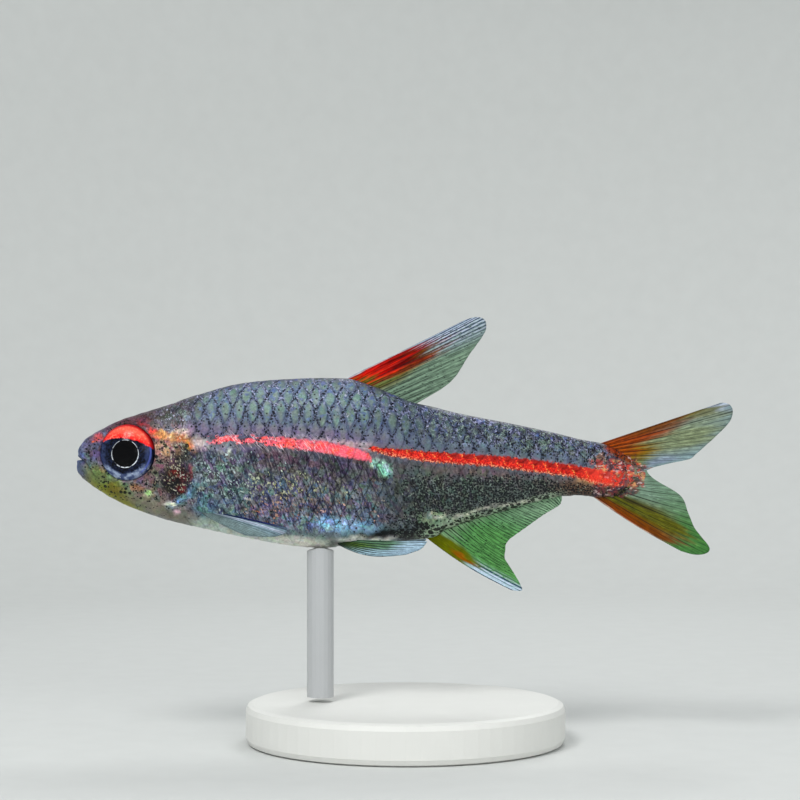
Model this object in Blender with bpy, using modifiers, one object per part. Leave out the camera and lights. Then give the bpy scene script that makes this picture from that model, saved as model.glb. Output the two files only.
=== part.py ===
"""A glowlight tetra, Hemigrammus erythrozonus, as a life-size display model held on one rod.

Lengths are in millimetres and become metres when a mesh is made. The fish is modelled in its
own frame: s runs from the tip of the snout towards the tail along X, heights are above the
long axis through the snout, and the left side faces -Y. One empty then lifts it over the stand.
"""

import math

import bmesh
import bpy
from mathutils import Matrix, Vector

MM = 0.001

# Clearance between nodes that touch
GAP = 0.3

# Whole fish
TOTAL_LENGTH = 39.16
AXIS_HEIGHT = 16.4

# Body stations: distance s, back above the axis, belly below it, half width, widest height
STATIONS = (
    (0.00, -0.07, 0.07, 0.00, 0.0),  # tip of the lower lip
    (0.21, 0.65, 0.52, 0.56, 0.0),  # lips
    (0.42, 1.51, 0.75, 0.78, 0.1),  # front of the snout
    (0.89, 1.90, 1.11, 1.04, 0.1),  # nostrils
    (1.61, 2.31, 1.59, 1.31, 0.1),  # front of the eye
    (3.10, 2.96, 2.36, 1.70, 0.1),  # middle of the eye
    (5.24, 3.62, 3.11, 2.04, 0.1),  # cheek
    (7.33, 4.31, 3.59, 2.26, 0.2),  # gill opening
    (9.71, 4.94, 4.12, 2.42, 0.3),  # shoulder
    (12.10, 5.19, 4.57, 2.46, 0.4),
    (14.50, 5.28, 4.79, 2.42, 0.4),  # deepest point
    (16.00, 5.26, 4.70, 2.34, 0.4),  # first ray of the dorsal fin
    (17.50, 4.84, 4.47, 2.18, 0.3),
    (20.20, 3.79, 4.33, 1.84, 0.1),  # last ray of the dorsal fin
    (21.10, 3.60, 4.20, 1.73, 0.0),  # first ray of the anal fin
    (22.35, 3.27, 3.59, 1.58, 0.0),
    (26.10, 2.52, 2.45, 1.20, 0.0),
    (28.79, 1.94, 1.76, 0.96, 0.0),  # last ray of the anal fin
    (29.98, 1.63, 1.68, 0.88, 0.0),  # narrowest part of the stalk
    (31.17, 1.42, 1.80, 0.74, -0.1),  # first ray of the tail fin
    (32.06, 1.12, 1.74, 0.60, -0.2),
    (32.84, 0.59, 1.44, 0.42, -0.4),
    (33.32, -0.05, 0.95, 0.26, -0.5),  # rear edge of the tail's bone plate
)
BODY_END = STATIONS[-1][0]
BODY_SIDES = 28

# Squareness of the sections: 2 is an ellipse, and the head's upper half is boxier
HEAD_BACK_POWER = 2.9
BODY_BACK_POWER = 2.1
BELLY_POWER = 2.0
HEAD_POWER_END = 4.0
BODY_POWER_START = 8.5

# Where the body is parted
TRUNK_FRONT = 4.2
TAIL_FRONT = 21.0
HEAD_RING_COUNT = 17
HEAD_REAR = 8.6
TRUNK_RING_COUNT = 15
TAIL_RING_STEPS = (0.0, 1.3, 2.8, 4.4, 6.0, 7.6, 9.0, 10.2, 11.1, 11.85, 12.32)
CUTTER_HALF_DEPTH = 5.0

# Rear edge of the head: nape, gill cover and throat, as (s, height)
HEAD_EDGE = (
    (5.75, 5.2),
    (6.00, 3.4),
    (6.32, 1.6),
    (6.95, 0.8),
    (7.42, -0.1),
    (7.38, -0.95),
    (6.85, -1.68),
    (5.90, -2.33),
    (5.00, -2.75),
    (4.30, -4.4),
)
HEAD_FLARE = 0.13
FLARE_START = 4.0

# Groove between the cheek and the gill cover, as (s, height)
CHEEK_LINE = ((5.35, 1.5), (5.15, 0.3), (5.05, -0.8), (4.75, -1.65), (4.05, -2.25), (3.2, -2.45))
GROOVE_WIDTH = 0.24
GROOVE_DEPTH = 0.16

# Line where the jaws meet, and the rear edge of the lower jaw, as (s, height)
MOUTH_LINE = ((-0.6, 0.42), (0.2, 0.38), (0.55, 0.3), (0.85, -0.02), (1.1, -0.42), (1.35, -0.72))
JAW_REAR = ((1.75, -1.0), (2.2, -1.45), (2.45, -2.3), (2.5, -3.4))
LIP_RADIUS = 0.15
LIP_OFFSET = 0.1
LIP_POINTS = 9

# Nostrils, front and rear, as (s, height)
NOSTRILS = ((1.12, 1.62), (1.6, 1.72))
NOSTRIL_RADIUS = 0.17

# Eyes
EYE_S = 3.1
EYE_HEIGHT = 0.88
EYE_RADIUS = 1.62
EYE_HALF_THICKNESS = 0.72
EYE_CENTRE_Y = 1.28
EYE_YAW = math.radians(9)
EYE_ROLL = math.radians(4)
EYE_SEGMENTS = 28
EYE_RINGS = 12

# Fins
FIN_THICKNESS = 0.5
RAY_RIDGE = 0.09
FIN_TIP_SHARE = 0.55
ROOT_DEPTH = 0.7
FIN_ROWS = 6

# Stand
BASE_RADIUS = 9.5
BASE_THICKNESS = 2.4
BASE_ROUNDING = 0.4
ROD_S = 14.5
ROD_RADIUS = 0.8


def slopes_of(knots):
    """Slopes at the knots of a cubic that keeps to the rise and fall of its values."""
    steps = [(b[0] - a[0], (b[1] - a[1]) / (b[0] - a[0])) for a, b in zip(knots, knots[1:])]
    slopes = [steps[0][1]]
    for (width_a, rise_a), (width_b, rise_b) in zip(steps, steps[1:]):
        if rise_a * rise_b <= 0:
            slopes.append(0.0)
        else:
            weight_a = 2 * width_b + width_a
            weight_b = width_b + 2 * width_a
            slopes.append((weight_a + weight_b) / (weight_a / rise_a + weight_b / rise_b))
    return slopes + [steps[-1][1]]


def profile(column):
    """Function of s that runs smoothly through one column of the stations.

    It works on the square root of s, which keeps the snout blunt and round.
    """
    knots = [(math.sqrt(row[0]), row[column]) for row in STATIONS]
    slopes = slopes_of(knots)

    def value(s):
        root = math.sqrt(min(max(s, 0.0), BODY_END))
        index = 0
        while index < len(knots) - 2 and root > knots[index + 1][0]:
            index += 1
        (start, low), (end, high) = knots[index], knots[index + 1]
        width = end - start
        t = (root - start) / width
        return (
            (2 * t**3 - 3 * t**2 + 1) * low
            + (t**3 - 2 * t**2 + t) * width * slopes[index]
            + (3 * t**2 - 2 * t**3) * high
            + (t**3 - t**2) * width * slopes[index + 1]
        )

    return value


def smooth_step(t):
    t = min(max(t, 0.0), 1.0)
    return t * t * (3 - 2 * t)


back_height = profile(1)
belly_depth = profile(2)
half_width = profile(3)
widest_height = profile(4)


def back_power(s):
    share = smooth_step((s - HEAD_POWER_END) / (BODY_POWER_START - HEAD_POWER_END))
    return HEAD_BACK_POWER + (BODY_BACK_POWER - HEAD_BACK_POWER) * share


def skin_point(s, angle, grow=0.0, flare=0.0):
    """Point of the body's surface: angle 0 is the back, half a turn the belly, on the +Y side.

    grow moves the whole surface out, and flare widens only the sides.
    """
    shift = grow * (2 * s / BODY_END - 1)
    middle = widest_height(s)
    top = back_height(s) + grow
    bottom = -belly_depth(s) - grow
    up = math.cos(angle)
    out = math.sin(angle)
    power = back_power(s) if up > 0 else BELLY_POWER
    reach = top - middle if up > 0 else middle - bottom
    height = middle + math.copysign(abs(up) ** (2 / power), up) * reach
    width = half_width(s) + grow + flare * out**2
    return Vector((s + shift, math.copysign(abs(out) ** (2 / power), out) * width, height))


def skin_half_width(s, height, grow=0.0):
    """Half width of the body at a height, 0 above the back or below the belly."""
    middle = widest_height(s)
    if height > middle:
        share = (height - middle) / (back_height(s) + grow - middle)
        power = back_power(s)
    else:
        share = (middle - height) / (middle + belly_depth(s) + grow)
        power = BELLY_POWER
    if share >= 1:
        return 0.0
    return (half_width(s) + grow) * (1 - share**power) ** (1 / power)


def curve_point(points, t):
    """Point at share t, 0 to 1, of a smooth curve through points of any dimension."""
    place = min(max(t, 0.0), 1.0) * (len(points) - 1)
    index = min(int(place), len(points) - 2)
    f = place - index
    p1 = Vector(points[index])
    p2 = Vector(points[index + 1])
    p0 = Vector(points[index - 1]) if index > 0 else 2 * p1 - p2
    p3 = Vector(points[index + 2]) if index + 2 < len(points) else 2 * p2 - p1
    return (
        p1
        + (p2 - p0) * (f / 2)
        + (2 * p0 - 5 * p1 + 4 * p2 - p3) * (f * f / 2)
        + (3 * p1 - 3 * p2 + p3 - p0) * (f**3 / 2)
    )


def curve_points(points, count):
    return [curve_point(points, i / (count - 1)) for i in range(count)]


def moved_sideways(points, distance):
    """The polyline moved to its left by a distance, in the plane of s and height."""
    moved = []
    for i, point in enumerate(points):
        before = points[max(i - 1, 0)]
        after = points[min(i + 1, len(points) - 1)]
        along = (Vector(after) - Vector(before)).normalized()
        moved.append(Vector((point[0] - along.y * distance, point[1] + along.x * distance)))
    return moved


def new_object(name, mesh, collection):
    obj = bpy.data.objects.new(name, mesh)
    collection.objects.link(obj)
    return obj


def object_from(bm, name, collection):
    """Object from a bmesh whose coordinates are in millimetres."""
    bm.normal_update()
    bmesh.ops.recalc_face_normals(bm, faces=bm.faces)
    bmesh.ops.scale(bm, vec=(MM, MM, MM), verts=bm.verts)
    mesh = bpy.data.meshes.new(name)
    bm.to_mesh(mesh)
    bm.free()
    return new_object(name, mesh, collection)


def evaluated_mesh(obj):
    graph = bpy.context.evaluated_depsgraph_get()
    return bpy.data.meshes.new_from_object(obj.evaluated_get(graph), depsgraph=graph)


def combine(obj, operation, tools):
    """Cuts, joins or intersects the object with the tools, applies that and removes them."""
    group = bpy.data.collections.new(obj.name + "_tools")
    bpy.context.scene.collection.children.link(group)
    for tool in tools:
        for owner in list(tool.users_collection):
            owner.objects.unlink(tool)
        group.objects.link(tool)
    modifier = obj.modifiers.new(operation.lower(), "BOOLEAN")
    modifier.operation = operation
    modifier.operand_type = "COLLECTION"
    modifier.collection = group
    modifier.solver = "EXACT"
    mesh = evaluated_mesh(obj)
    obj.modifiers.clear()
    obj.data = mesh
    for tool in tools:
        bpy.data.objects.remove(tool)
    bpy.data.collections.remove(group)


def keep_largest_surface(obj):
    """Leaves the closed surface that holds the most, and drops loose scraps."""
    bm = bmesh.new()
    bm.from_mesh(obj.data)
    bmesh.ops.triangulate(bm, faces=bm.faces)
    unseen = set(bm.faces)
    surfaces = []
    while unseen:
        queue = [unseen.pop()]
        surface = list(queue)
        while queue:
            face = queue.pop()
            for edge in face.edges:
                for other in edge.link_faces:
                    if other in unseen:
                        unseen.discard(other)
                        queue.append(other)
                        surface.append(other)
        surfaces.append(surface)

    def volume(faces):
        return abs(sum(f.verts[0].co.dot(f.verts[1].co.cross(f.verts[2].co)) for f in faces))

    surfaces.sort(key=volume)
    scraps = [face for surface in surfaces[:-1] for face in surface]
    if scraps:
        bmesh.ops.delete(bm, geom=scraps, context="FACES")
    bm.to_mesh(obj.data)
    bm.free()


def loft(name, rings, collection):
    """Closed solid through rings of points. A ring of one point ends it in a fan."""
    bm = bmesh.new()
    made = [[bm.verts.new(point) for point in ring] for ring in rings]
    for ring_a, ring_b in zip(made, made[1:]):
        count = max(len(ring_a), len(ring_b))
        for i in range(count):
            j = (i + 1) % count
            if len(ring_a) == 1:
                bm.faces.new((ring_a[0], ring_b[i], ring_b[j]))
            else:
                bm.faces.new((ring_a[i], ring_b[i], ring_b[j], ring_a[j]))
    for ring in (made[0], made[-1]):
        if len(ring) > 1:
            bm.faces.new(ring)
    return object_from(bm, name, collection)


def body_loft(name, places, collection, grow=0.0, flare=0.0):
    """Length of the body between rings at the given places."""
    rings = []
    for s in places:
        widen = flare * smooth_step((s - FLARE_START) / (HEAD_REAR - FLARE_START))
        if half_width(s) + grow < 0.05:
            rings.append([skin_point(s, 0.0, grow)])
            continue
        angles = [2 * math.pi * i / BODY_SIDES for i in range(BODY_SIDES)]
        rings.append([skin_point(s, angle, grow, widen) for angle in angles])
    return loft(name, rings, collection)


def head_places():
    return [HEAD_REAR * (i / HEAD_RING_COUNT) ** 1.8 for i in range(HEAD_RING_COUNT + 1)]


def trunk_places():
    length = TAIL_FRONT - GAP - TRUNK_FRONT
    return [TRUNK_FRONT + length * i / TRUNK_RING_COUNT for i in range(TRUNK_RING_COUNT + 1)]


def tail_places():
    return [TAIL_FRONT + step for step in TAIL_RING_STEPS]


def grown_body(name, grow, collection):
    """The whole body with its surface moved out, which cuts what stands on it."""
    trunk = [s for s in trunk_places() if s > HEAD_REAR]
    return body_loft(name, head_places() + trunk + tail_places(), collection, grow)


def outline_solid(name, points, half_depth, collection):
    """Solid with a flat outline in the plane of s and height, as deep on either side of it."""
    data = bpy.data.curves.new(name, "CURVE")
    data.dimensions = "2D"
    data.fill_mode = "BOTH"
    data.extrude = half_depth * MM
    spline = data.splines.new("POLY")
    spline.points.add(len(points) - 1)
    for target, point in zip(spline.points, points):
        target.co = (point[0] * MM, point[1] * MM, 0.0, 1.0)
    spline.use_cyclic_u = True
    return mesh_from_curve(name, data, collection, upright=True)


def tube_solid(name, points, radius, collection):
    data = bpy.data.curves.new(name, "CURVE")
    data.dimensions = "3D"
    data.bevel_depth = radius * MM
    data.bevel_resolution = 1
    data.use_fill_caps = True
    spline = data.splines.new("POLY")
    spline.points.add(len(points) - 1)
    for target, point in zip(spline.points, points):
        target.co = (*(Vector(point) * MM), 1.0)
    return mesh_from_curve(name, data, collection)


def mesh_from_curve(name, data, collection, upright=False):
    """Mesh object in place of a curve, with its caps welded on, and stood up if asked."""
    curve = new_object(name + "_curve", data, collection)
    bpy.context.view_layer.update()
    bm = bmesh.new()
    bm.from_mesh(evaluated_mesh(curve))
    bpy.data.objects.remove(curve)
    bmesh.ops.remove_doubles(bm, verts=bm.verts, dist=1e-7)
    if upright:
        for vert in bm.verts:
            x, y, z = vert.co
            vert.co = (x, -z, y)
    bm.normal_update()
    bmesh.ops.recalc_face_normals(bm, faces=bm.faces)
    mesh = bpy.data.meshes.new(name)
    bm.to_mesh(mesh)
    bm.free()
    return new_object(name, mesh, collection)


def ellipsoid(name, centre, radii, collection, segments=12, rings=8, yaw=0.0, roll=0.0):
    """Closed ellipsoid whose poles lie on Y before it is rolled about X and yawed about Z."""
    bm = bmesh.new()
    bmesh.ops.create_uvsphere(bm, u_segments=segments, v_segments=rings, radius=1.0)
    turn = Matrix.Rotation(yaw, 3, "Z") @ Matrix.Rotation(roll, 3, "X")
    for vert in bm.verts:
        x, y, z = vert.co
        vert.co = Vector(centre) + turn @ Vector((radii[0] * x, -radii[1] * z, radii[2] * y))
    return object_from(bm, name, collection)


def eye_solid(name, side, margin, collection):
    """Eye grown by a margin. It faces a little forwards and upwards, as the head's side does."""
    radii = (EYE_RADIUS + margin, EYE_HALF_THICKNESS + margin, EYE_RADIUS + margin)
    centre = (EYE_S, side * EYE_CENTRE_Y, EYE_HEIGHT)
    yaw = side * EYE_YAW
    roll = side * EYE_ROLL
    return ellipsoid(name, centre, radii, collection, EYE_SEGMENTS, EYE_RINGS, yaw, roll)


def head_outline(offset):
    """Region ahead of the gill opening, with its rear edge moved back by the offset."""
    edge = moved_sideways(curve_points(HEAD_EDGE, 19), offset)
    above = Vector((edge[0].x, 8.0))
    below = Vector((edge[-1].x, -8.0))
    return [Vector((-3.0, 8.0)), above, *edge, below, Vector((-3.0, -8.0))]


def jaw_outline(offset):
    """Region of the lower jaw, grown upwards and backwards by the offset."""
    line = curve_points(MOUTH_LINE, 9) + curve_points(JAW_REAR, 6)
    edge = moved_sideways(line, offset)
    return [*edge, Vector((edge[-1].x, -6.0)), Vector((edge[0].x, -6.0))]


def lip_path(offset):
    """Path round the snout from one corner of the mouth to the other."""
    edge = moved_sideways(curve_points(MOUTH_LINE[1:], LIP_POINTS), offset)
    side = [Vector((p.x, skin_half_width(p.x, p.y), p.y)) for p in edge]
    front = [p for p in side if p.y > 0.12]
    return [Vector((p.x, -p.y, p.z)) for p in reversed(front)] + front


def groove_solid(name, line, collection):
    """Shallow trough along a line on both sides of the head."""
    points = curve_points(line, 11)
    edges = moved_sideways(points, GROOVE_WIDTH / 2) + moved_sideways(points, -GROOVE_WIDTH / 2)[::-1]
    trough = outline_solid(name, edges, CUTTER_HALF_DEPTH, collection)
    core = body_loft(name + "_core", head_places(), collection, -GROOVE_DEPTH)
    combine(trough, "DIFFERENCE", [core])
    return trough


def make_head(collection):
    """Head with the upper jaw, the sockets of the eyes, the nostrils and the gill covers."""
    head = body_loft("head", head_places(), collection, 0.0, HEAD_FLARE)
    keep = outline_solid("head_region", head_outline(0.0), CUTTER_HALF_DEPTH, collection)
    combine(head, "INTERSECT", [keep])
    lip = tube_solid("upper_lip", lip_path(GAP + LIP_OFFSET), LIP_RADIUS, collection)
    combine(head, "UNION", [lip])
    cutters = [outline_solid("mouth_cut", jaw_outline(GAP), CUTTER_HALF_DEPTH, collection)]
    for side in (-1, 1):
        cutters.append(eye_solid("socket", side, GAP, collection))
        for s, height in NOSTRILS:
            centre = (s, side * skin_half_width(s, height), height)
            cutters.append(ellipsoid("nostril", centre, [NOSTRIL_RADIUS] * 3, collection, 8, 6))
    cutters.append(groove_solid("cheek_groove", CHEEK_LINE, collection))
    combine(head, "DIFFERENCE", cutters)
    keep_largest_surface(head)
    return head


def make_lower_jaw(collection):
    jaw = body_loft("lower_jaw", head_places(), collection)
    lip = tube_solid("lower_lip", lip_path(-LIP_OFFSET), LIP_RADIUS, collection)
    combine(jaw, "UNION", [lip])
    keep = outline_solid("jaw_region", jaw_outline(0.0), CUTTER_HALF_DEPTH, collection)
    combine(jaw, "INTERSECT", [keep])
    keep_largest_surface(jaw)
    return jaw


def make_trunk(collection):
    trunk = body_loft("trunk", trunk_places(), collection)
    ahead = outline_solid("head_space", head_outline(GAP), CUTTER_HALF_DEPTH, collection)
    combine(trunk, "DIFFERENCE", [ahead])
    keep_largest_surface(trunk)
    return trunk


def make_tail(collection):
    return body_loft("tail", tail_places(), collection)


def ray_sheet(name, root, margin, ray_count, place, collection, bend=0.0):
    """Closed sheet with raised rays. root and margin are curves of 2D points from the first ray
    to the last, and place(point, off) turns such a point into one of the sheet's two faces."""
    columns = 2 * ray_count - 1
    bm = bmesh.new()
    faces = []
    for side in (-1, 1):
        grid = []
        for column in range(columns):
            u = column / (columns - 1)
            start = curve_point(root, u)
            end = curve_point(margin, u)
            ray = (end - start).normalized()
            start = start - ray * ROOT_DEPTH
            across = Vector((-ray.y, ray.x)) * bend
            ridge = RAY_RIDGE if column % 2 == 0 else 0.0
            line = []
            for row in range(FIN_ROWS + 1):
                v = row / FIN_ROWS
                taper = 1 - (1 - FIN_TIP_SHARE) * smooth_step((v - 0.4) / 0.6)
                half = (FIN_THICKNESS / 2 + ridge) * taper
                point = start.lerp(end, v) + across * math.sin(math.pi * v)
                line.append(bm.verts.new(place(point, side * half)))
            grid.append(line)
        faces.append(grid)
    for grid in faces:
        for line_a, line_b in zip(grid, grid[1:]):
            for row in range(FIN_ROWS):
                quad = (line_a[row], line_b[row], line_b[row + 1], line_a[row + 1])
                bm.faces.new((quad[0], quad[1], quad[2]))
                bm.faces.new((quad[0], quad[2], quad[3]))
    near, far = ([grid[0] for grid in faces], [grid[-1] for grid in faces])
    for low, high in (near, far):
        for row in range(FIN_ROWS):
            bm.faces.new((low[row], low[row + 1], high[row + 1], high[row]))
    for row in (0, FIN_ROWS):
        low = [line[row] for line in faces[0]]
        high = [line[row] for line in faces[1]]
        for i in range(columns - 1):
            bm.faces.new((low[i], low[i + 1], high[i + 1], high[i]))
    return object_from(bm, name, collection)


def in_middle_plane(point, off):
    return Vector((point.x, off, point.y))


def rooted(fin, collection):
    """The fin with its root cut to the body's surface, a gap away from it."""
    combine(fin, "DIFFERENCE", [grown_body("root_cut", GAP, collection)])
    keep_largest_surface(fin)
    return fin


def make_dorsal_fin(collection):
    """Rays rise from the back and lean to the rear. The first ray ends in the tip."""
    root = [(s, back_height(s)) for s in (15.9, 17.3, 18.8, 20.25)]
    margin = (
        (23.55, 8.87),
        (24.25, 8.74),
        (24.44, 8.12),
        (23.95, 7.08),
        (23.05, 6.02),
        (22.35, 5.12),
        (21.2, 4.25),
    )
    fin = ray_sheet("dorsal_fin", root, margin, 11, in_middle_plane, collection, 0.12)
    return rooted(fin, collection)


def make_anal_fin(collection):
    """Long base with a drawn-out front tip and short rear rays."""
    root = [(s, -belly_depth(s)) for s in (21.35, 23.2, 25.1, 27.0, 28.8)]
    margin = (
        (26.15, -7.37),
        (26.5, -7.2),
        (25.9, -6.25),
        (25.5, -5.35),
        (25.6, -4.6),
        (26.4, -3.85),
        (27.6, -3.0),
        (28.95, -2.1),
    )
    fin = ray_sheet("anal_fin", root, margin, 16, in_middle_plane, collection, -0.1)
    return rooted(fin, collection)


def make_tail_fin_lobes(collection):
    """Forked tail fin as two lobes that meet along its middle."""
    upper_root = ((30.9, 1.3), (31.9, 1.1), (32.7, 0.6), (33.2, 0.0), (33.3, -0.2))
    upper_margin = (
        (38.3, 3.8),
        (39.0, 3.68),
        (39.1, 3.1),
        (38.3, 2.05),
        (37.5, 1.35),
        (36.6, 0.6),
        (35.4, 0.3),
        (34.1, -0.1),
    )
    lower_root = ((30.9, -1.75), (31.9, -1.7), (32.7, -1.4), (33.2, -0.8), (33.3, -0.6))
    lower_margin = (
        (36.9, -5.26),
        (37.6, -5.2),
        (37.72, -4.85),
        (37.2, -4.1),
        (36.7, -3.2),
        (36.3, -2.2),
        (35.4, -1.4),
        (34.2, -0.5),
    )
    upper = ray_sheet("tail_fin_upper", upper_root, upper_margin, 10, in_middle_plane, collection)
    lower = ray_sheet("tail_fin_lower", lower_root, lower_margin, 9, in_middle_plane, collection)
    return [rooted(upper, collection), rooted(lower, collection)]


def blade_place(origin, along, across, side):
    """Placing of a paired fin: its length runs along, its width across, mirrored by side."""
    along = Vector(along).normalized()
    across = Vector(across)
    across = (across - along * across.dot(along)).normalized()
    normal = along.cross(across)

    def place(point, off):
        spot = Vector(origin) + along * point.x + across * point.y + normal * off
        return Vector((spot.x, spot.y * side, spot.z))

    return place


def make_pectoral_fin(name, side, collection):
    """Fin folded back along the lower flank, its plane sloping outwards."""
    place = blade_place((7.95, 1.62, -2.7), (4.75, 0.55, -1.0), (0.0, 0.75, -0.75), side)
    root = ((0.0, -0.4), (0.0, 0.0), (0.0, 0.4))
    margin = ((4.75, 0.1), (4.8, 0.4), (4.4, 0.75), (3.6, 0.95), (2.5, 1.0))
    fin = ray_sheet(name, root, margin, 8, place, collection)
    return rooted(fin, collection)


def make_pelvic_fin(name, side, collection):
    """Fin trailing under the belly, spread a little to the side."""
    place = blade_place((15.7, 0.75, -4.45), (5.2, 0.75, 0.1), (0.0, 0.62, -0.78), side)
    root = ((0.0, -0.35), (0.0, 0.1), (0.0, 0.5))
    margin = ((5.2, -0.1), (5.1, 0.35), (4.4, 0.75), (3.5, 0.95), (2.0, 0.95))
    fin = ray_sheet(name, root, margin, 8, place, collection)
    return rooted(fin, collection)


def make_stand(collection, fish_frame):
    bpy.ops.mesh.primitive_cylinder_add(
        vertices=72,
        radius=BASE_RADIUS * MM,
        depth=BASE_THICKNESS * MM,
        location=(0, 0, BASE_THICKNESS * MM / 2),
    )
    base = bpy.context.object
    base.name = "stand_base"
    for owner in list(base.users_collection):
        owner.objects.unlink(base)
    collection.objects.link(base)
    rounding = base.modifiers.new("edges", "BEVEL")
    rounding.width = BASE_ROUNDING * MM
    rounding.segments = 2
    rounding.limit_method = "ANGLE"
    bottom = BASE_THICKNESS + GAP - AXIS_HEIGHT
    bm = bmesh.new()
    height = -belly_depth(ROD_S) + 1.0 - bottom
    bmesh.ops.create_cone(
        bm, cap_ends=True, segments=20, radius1=ROD_RADIUS, radius2=ROD_RADIUS, depth=height
    )
    bmesh.ops.translate(bm, vec=(ROD_S, 0, bottom + height / 2), verts=bm.verts)
    rod = object_from(bm, "stand_rod", collection)
    rooted(rod, collection)
    rod.parent = fish_frame
    return [base, rod]


def material(name, colour, roughness, metallic=0.0):
    made = bpy.data.materials.new(name)
    made.use_nodes = True
    shader = made.node_tree.nodes["Principled BSDF"]
    shader.inputs["Base Color"].default_value = (*colour, 1.0)
    shader.inputs["Roughness"].default_value = roughness
    shader.inputs["Metallic"].default_value = metallic
    made.diffuse_color = (*colour, 1.0)
    return made


def paint(objects, made):
    for obj in objects:
        obj.data.materials.clear()
        obj.data.materials.append(made)
        obj.data.shade_smooth()
        obj.data.set_sharp_from_angle(angle=math.radians(40))


def main():
    for obj in list(bpy.data.objects):
        bpy.data.objects.remove(obj)
    parts = bpy.data.collections.new("glowlight_tetra")
    bpy.context.scene.collection.children.link(parts)
    fish_frame = bpy.data.objects.new("fish_frame", None)
    parts.objects.link(fish_frame)
    fish_frame.location = (-TOTAL_LENGTH / 2 * MM, 0, AXIS_HEIGHT * MM)

    flesh = [make_head(parts), make_lower_jaw(parts), make_trunk(parts), make_tail(parts)]
    eyes = [eye_solid("eye_left", -1, 0.0, parts), eye_solid("eye_right", 1, 0.0, parts)]
    fins = [make_dorsal_fin(parts), make_anal_fin(parts), *make_tail_fin_lobes(parts)]
    for word, side in (("left", -1), ("right", 1)):
        fins.append(make_pectoral_fin("pectoral_fin_" + word, side, parts))
        fins.append(make_pelvic_fin("pelvic_fin_" + word, side, parts))
    for piece in flesh + eyes + fins:
        piece.parent = fish_frame
    stand = make_stand(parts, fish_frame)

    paint(flesh, material("skin", (0.30, 0.30, 0.27), 0.4))
    paint(eyes, material("eye", (0.06, 0.07, 0.11), 0.15))
    paint(fins, material("fin", (0.42, 0.45, 0.36), 0.45))
    paint(stand, material("stand", (0.82, 0.82, 0.80), 0.35))


main()
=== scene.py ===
"""The looks of the glowlight tetra: skin, scales, eyes, fins, stand, floor, lights and camera.

Shapes are worked out in millimetres in the fish's own frame: s runs from the snout to the tail,
y across, with the left side at -y, and h is the height above the long axis.
"""
import math
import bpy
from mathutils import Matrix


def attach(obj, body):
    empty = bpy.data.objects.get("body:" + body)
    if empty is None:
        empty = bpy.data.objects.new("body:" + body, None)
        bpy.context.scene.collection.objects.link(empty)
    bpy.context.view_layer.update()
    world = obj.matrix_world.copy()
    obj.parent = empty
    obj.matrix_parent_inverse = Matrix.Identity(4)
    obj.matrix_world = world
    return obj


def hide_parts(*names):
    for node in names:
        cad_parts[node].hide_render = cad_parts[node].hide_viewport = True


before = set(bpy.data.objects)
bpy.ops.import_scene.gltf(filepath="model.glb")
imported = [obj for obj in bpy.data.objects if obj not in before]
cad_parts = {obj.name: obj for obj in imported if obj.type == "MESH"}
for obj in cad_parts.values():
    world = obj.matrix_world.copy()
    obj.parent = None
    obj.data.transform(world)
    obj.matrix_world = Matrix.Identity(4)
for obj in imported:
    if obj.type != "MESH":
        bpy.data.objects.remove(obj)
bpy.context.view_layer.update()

from types import SimpleNamespace

import bpy
import numpy as np
from mathutils import Matrix, Vector

MM = 0.001
TOTAL_LENGTH = 39.16
AXIS_HEIGHT = 16.4
FISH_ORIGIN = np.array((-TOTAL_LENGTH / 2, 0.0, AXIS_HEIGHT))
SIDES = (("left", -1.0), ("right", 1.0))

# Body stations: distance s, back above the axis, belly below it, half width, widest height
STATIONS = np.array((
    (0.00, -0.07, 0.07, 0.00, 0.0),
    (0.21, 0.65, 0.52, 0.56, 0.0),
    (0.42, 1.51, 0.75, 0.78, 0.1),
    (0.89, 1.90, 1.11, 1.04, 0.1),
    (1.61, 2.31, 1.59, 1.31, 0.1),
    (3.10, 2.96, 2.36, 1.70, 0.1),
    (5.24, 3.62, 3.11, 2.04, 0.1),
    (7.33, 4.31, 3.59, 2.26, 0.2),
    (9.71, 4.94, 4.12, 2.42, 0.3),
    (12.10, 5.19, 4.57, 2.46, 0.4),
    (14.50, 5.28, 4.79, 2.42, 0.4),
    (16.00, 5.26, 4.70, 2.34, 0.4),
    (17.50, 4.84, 4.47, 2.18, 0.3),
    (20.20, 3.79, 4.33, 1.84, 0.1),
    (21.10, 3.60, 4.20, 1.73, 0.0),
    (22.35, 3.27, 3.59, 1.58, 0.0),
    (26.10, 2.52, 2.45, 1.20, 0.0),
    (28.79, 1.94, 1.76, 0.96, 0.0),
    (29.98, 1.63, 1.68, 0.88, 0.0),
    (31.17, 1.42, 1.80, 0.74, -0.1),
    (32.06, 1.12, 1.74, 0.60, -0.2),
    (32.84, 0.59, 1.44, 0.42, -0.4),
    (33.32, -0.05, 0.95, 0.26, -0.5),
))
BODY_END = STATIONS[-1, 0]
HEAD_BACK_POWER = 2.9
BODY_BACK_POWER = 2.1
BELLY_POWER = 2.0
HEAD_POWER_END = 4.0
BODY_POWER_START = 8.5
FLANK_RINGS = 500

# Skin
HEAD_LENGTH = 8.0
HEAD_RINGS = 190
TRUNK_RINGS = 158
SKIN_SIDES = 220
SNOUT_TIP = (0.0, 0.0, -0.07)
STALK_TIP = (BODY_END + 0.12, 0.0, -0.5)

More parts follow.
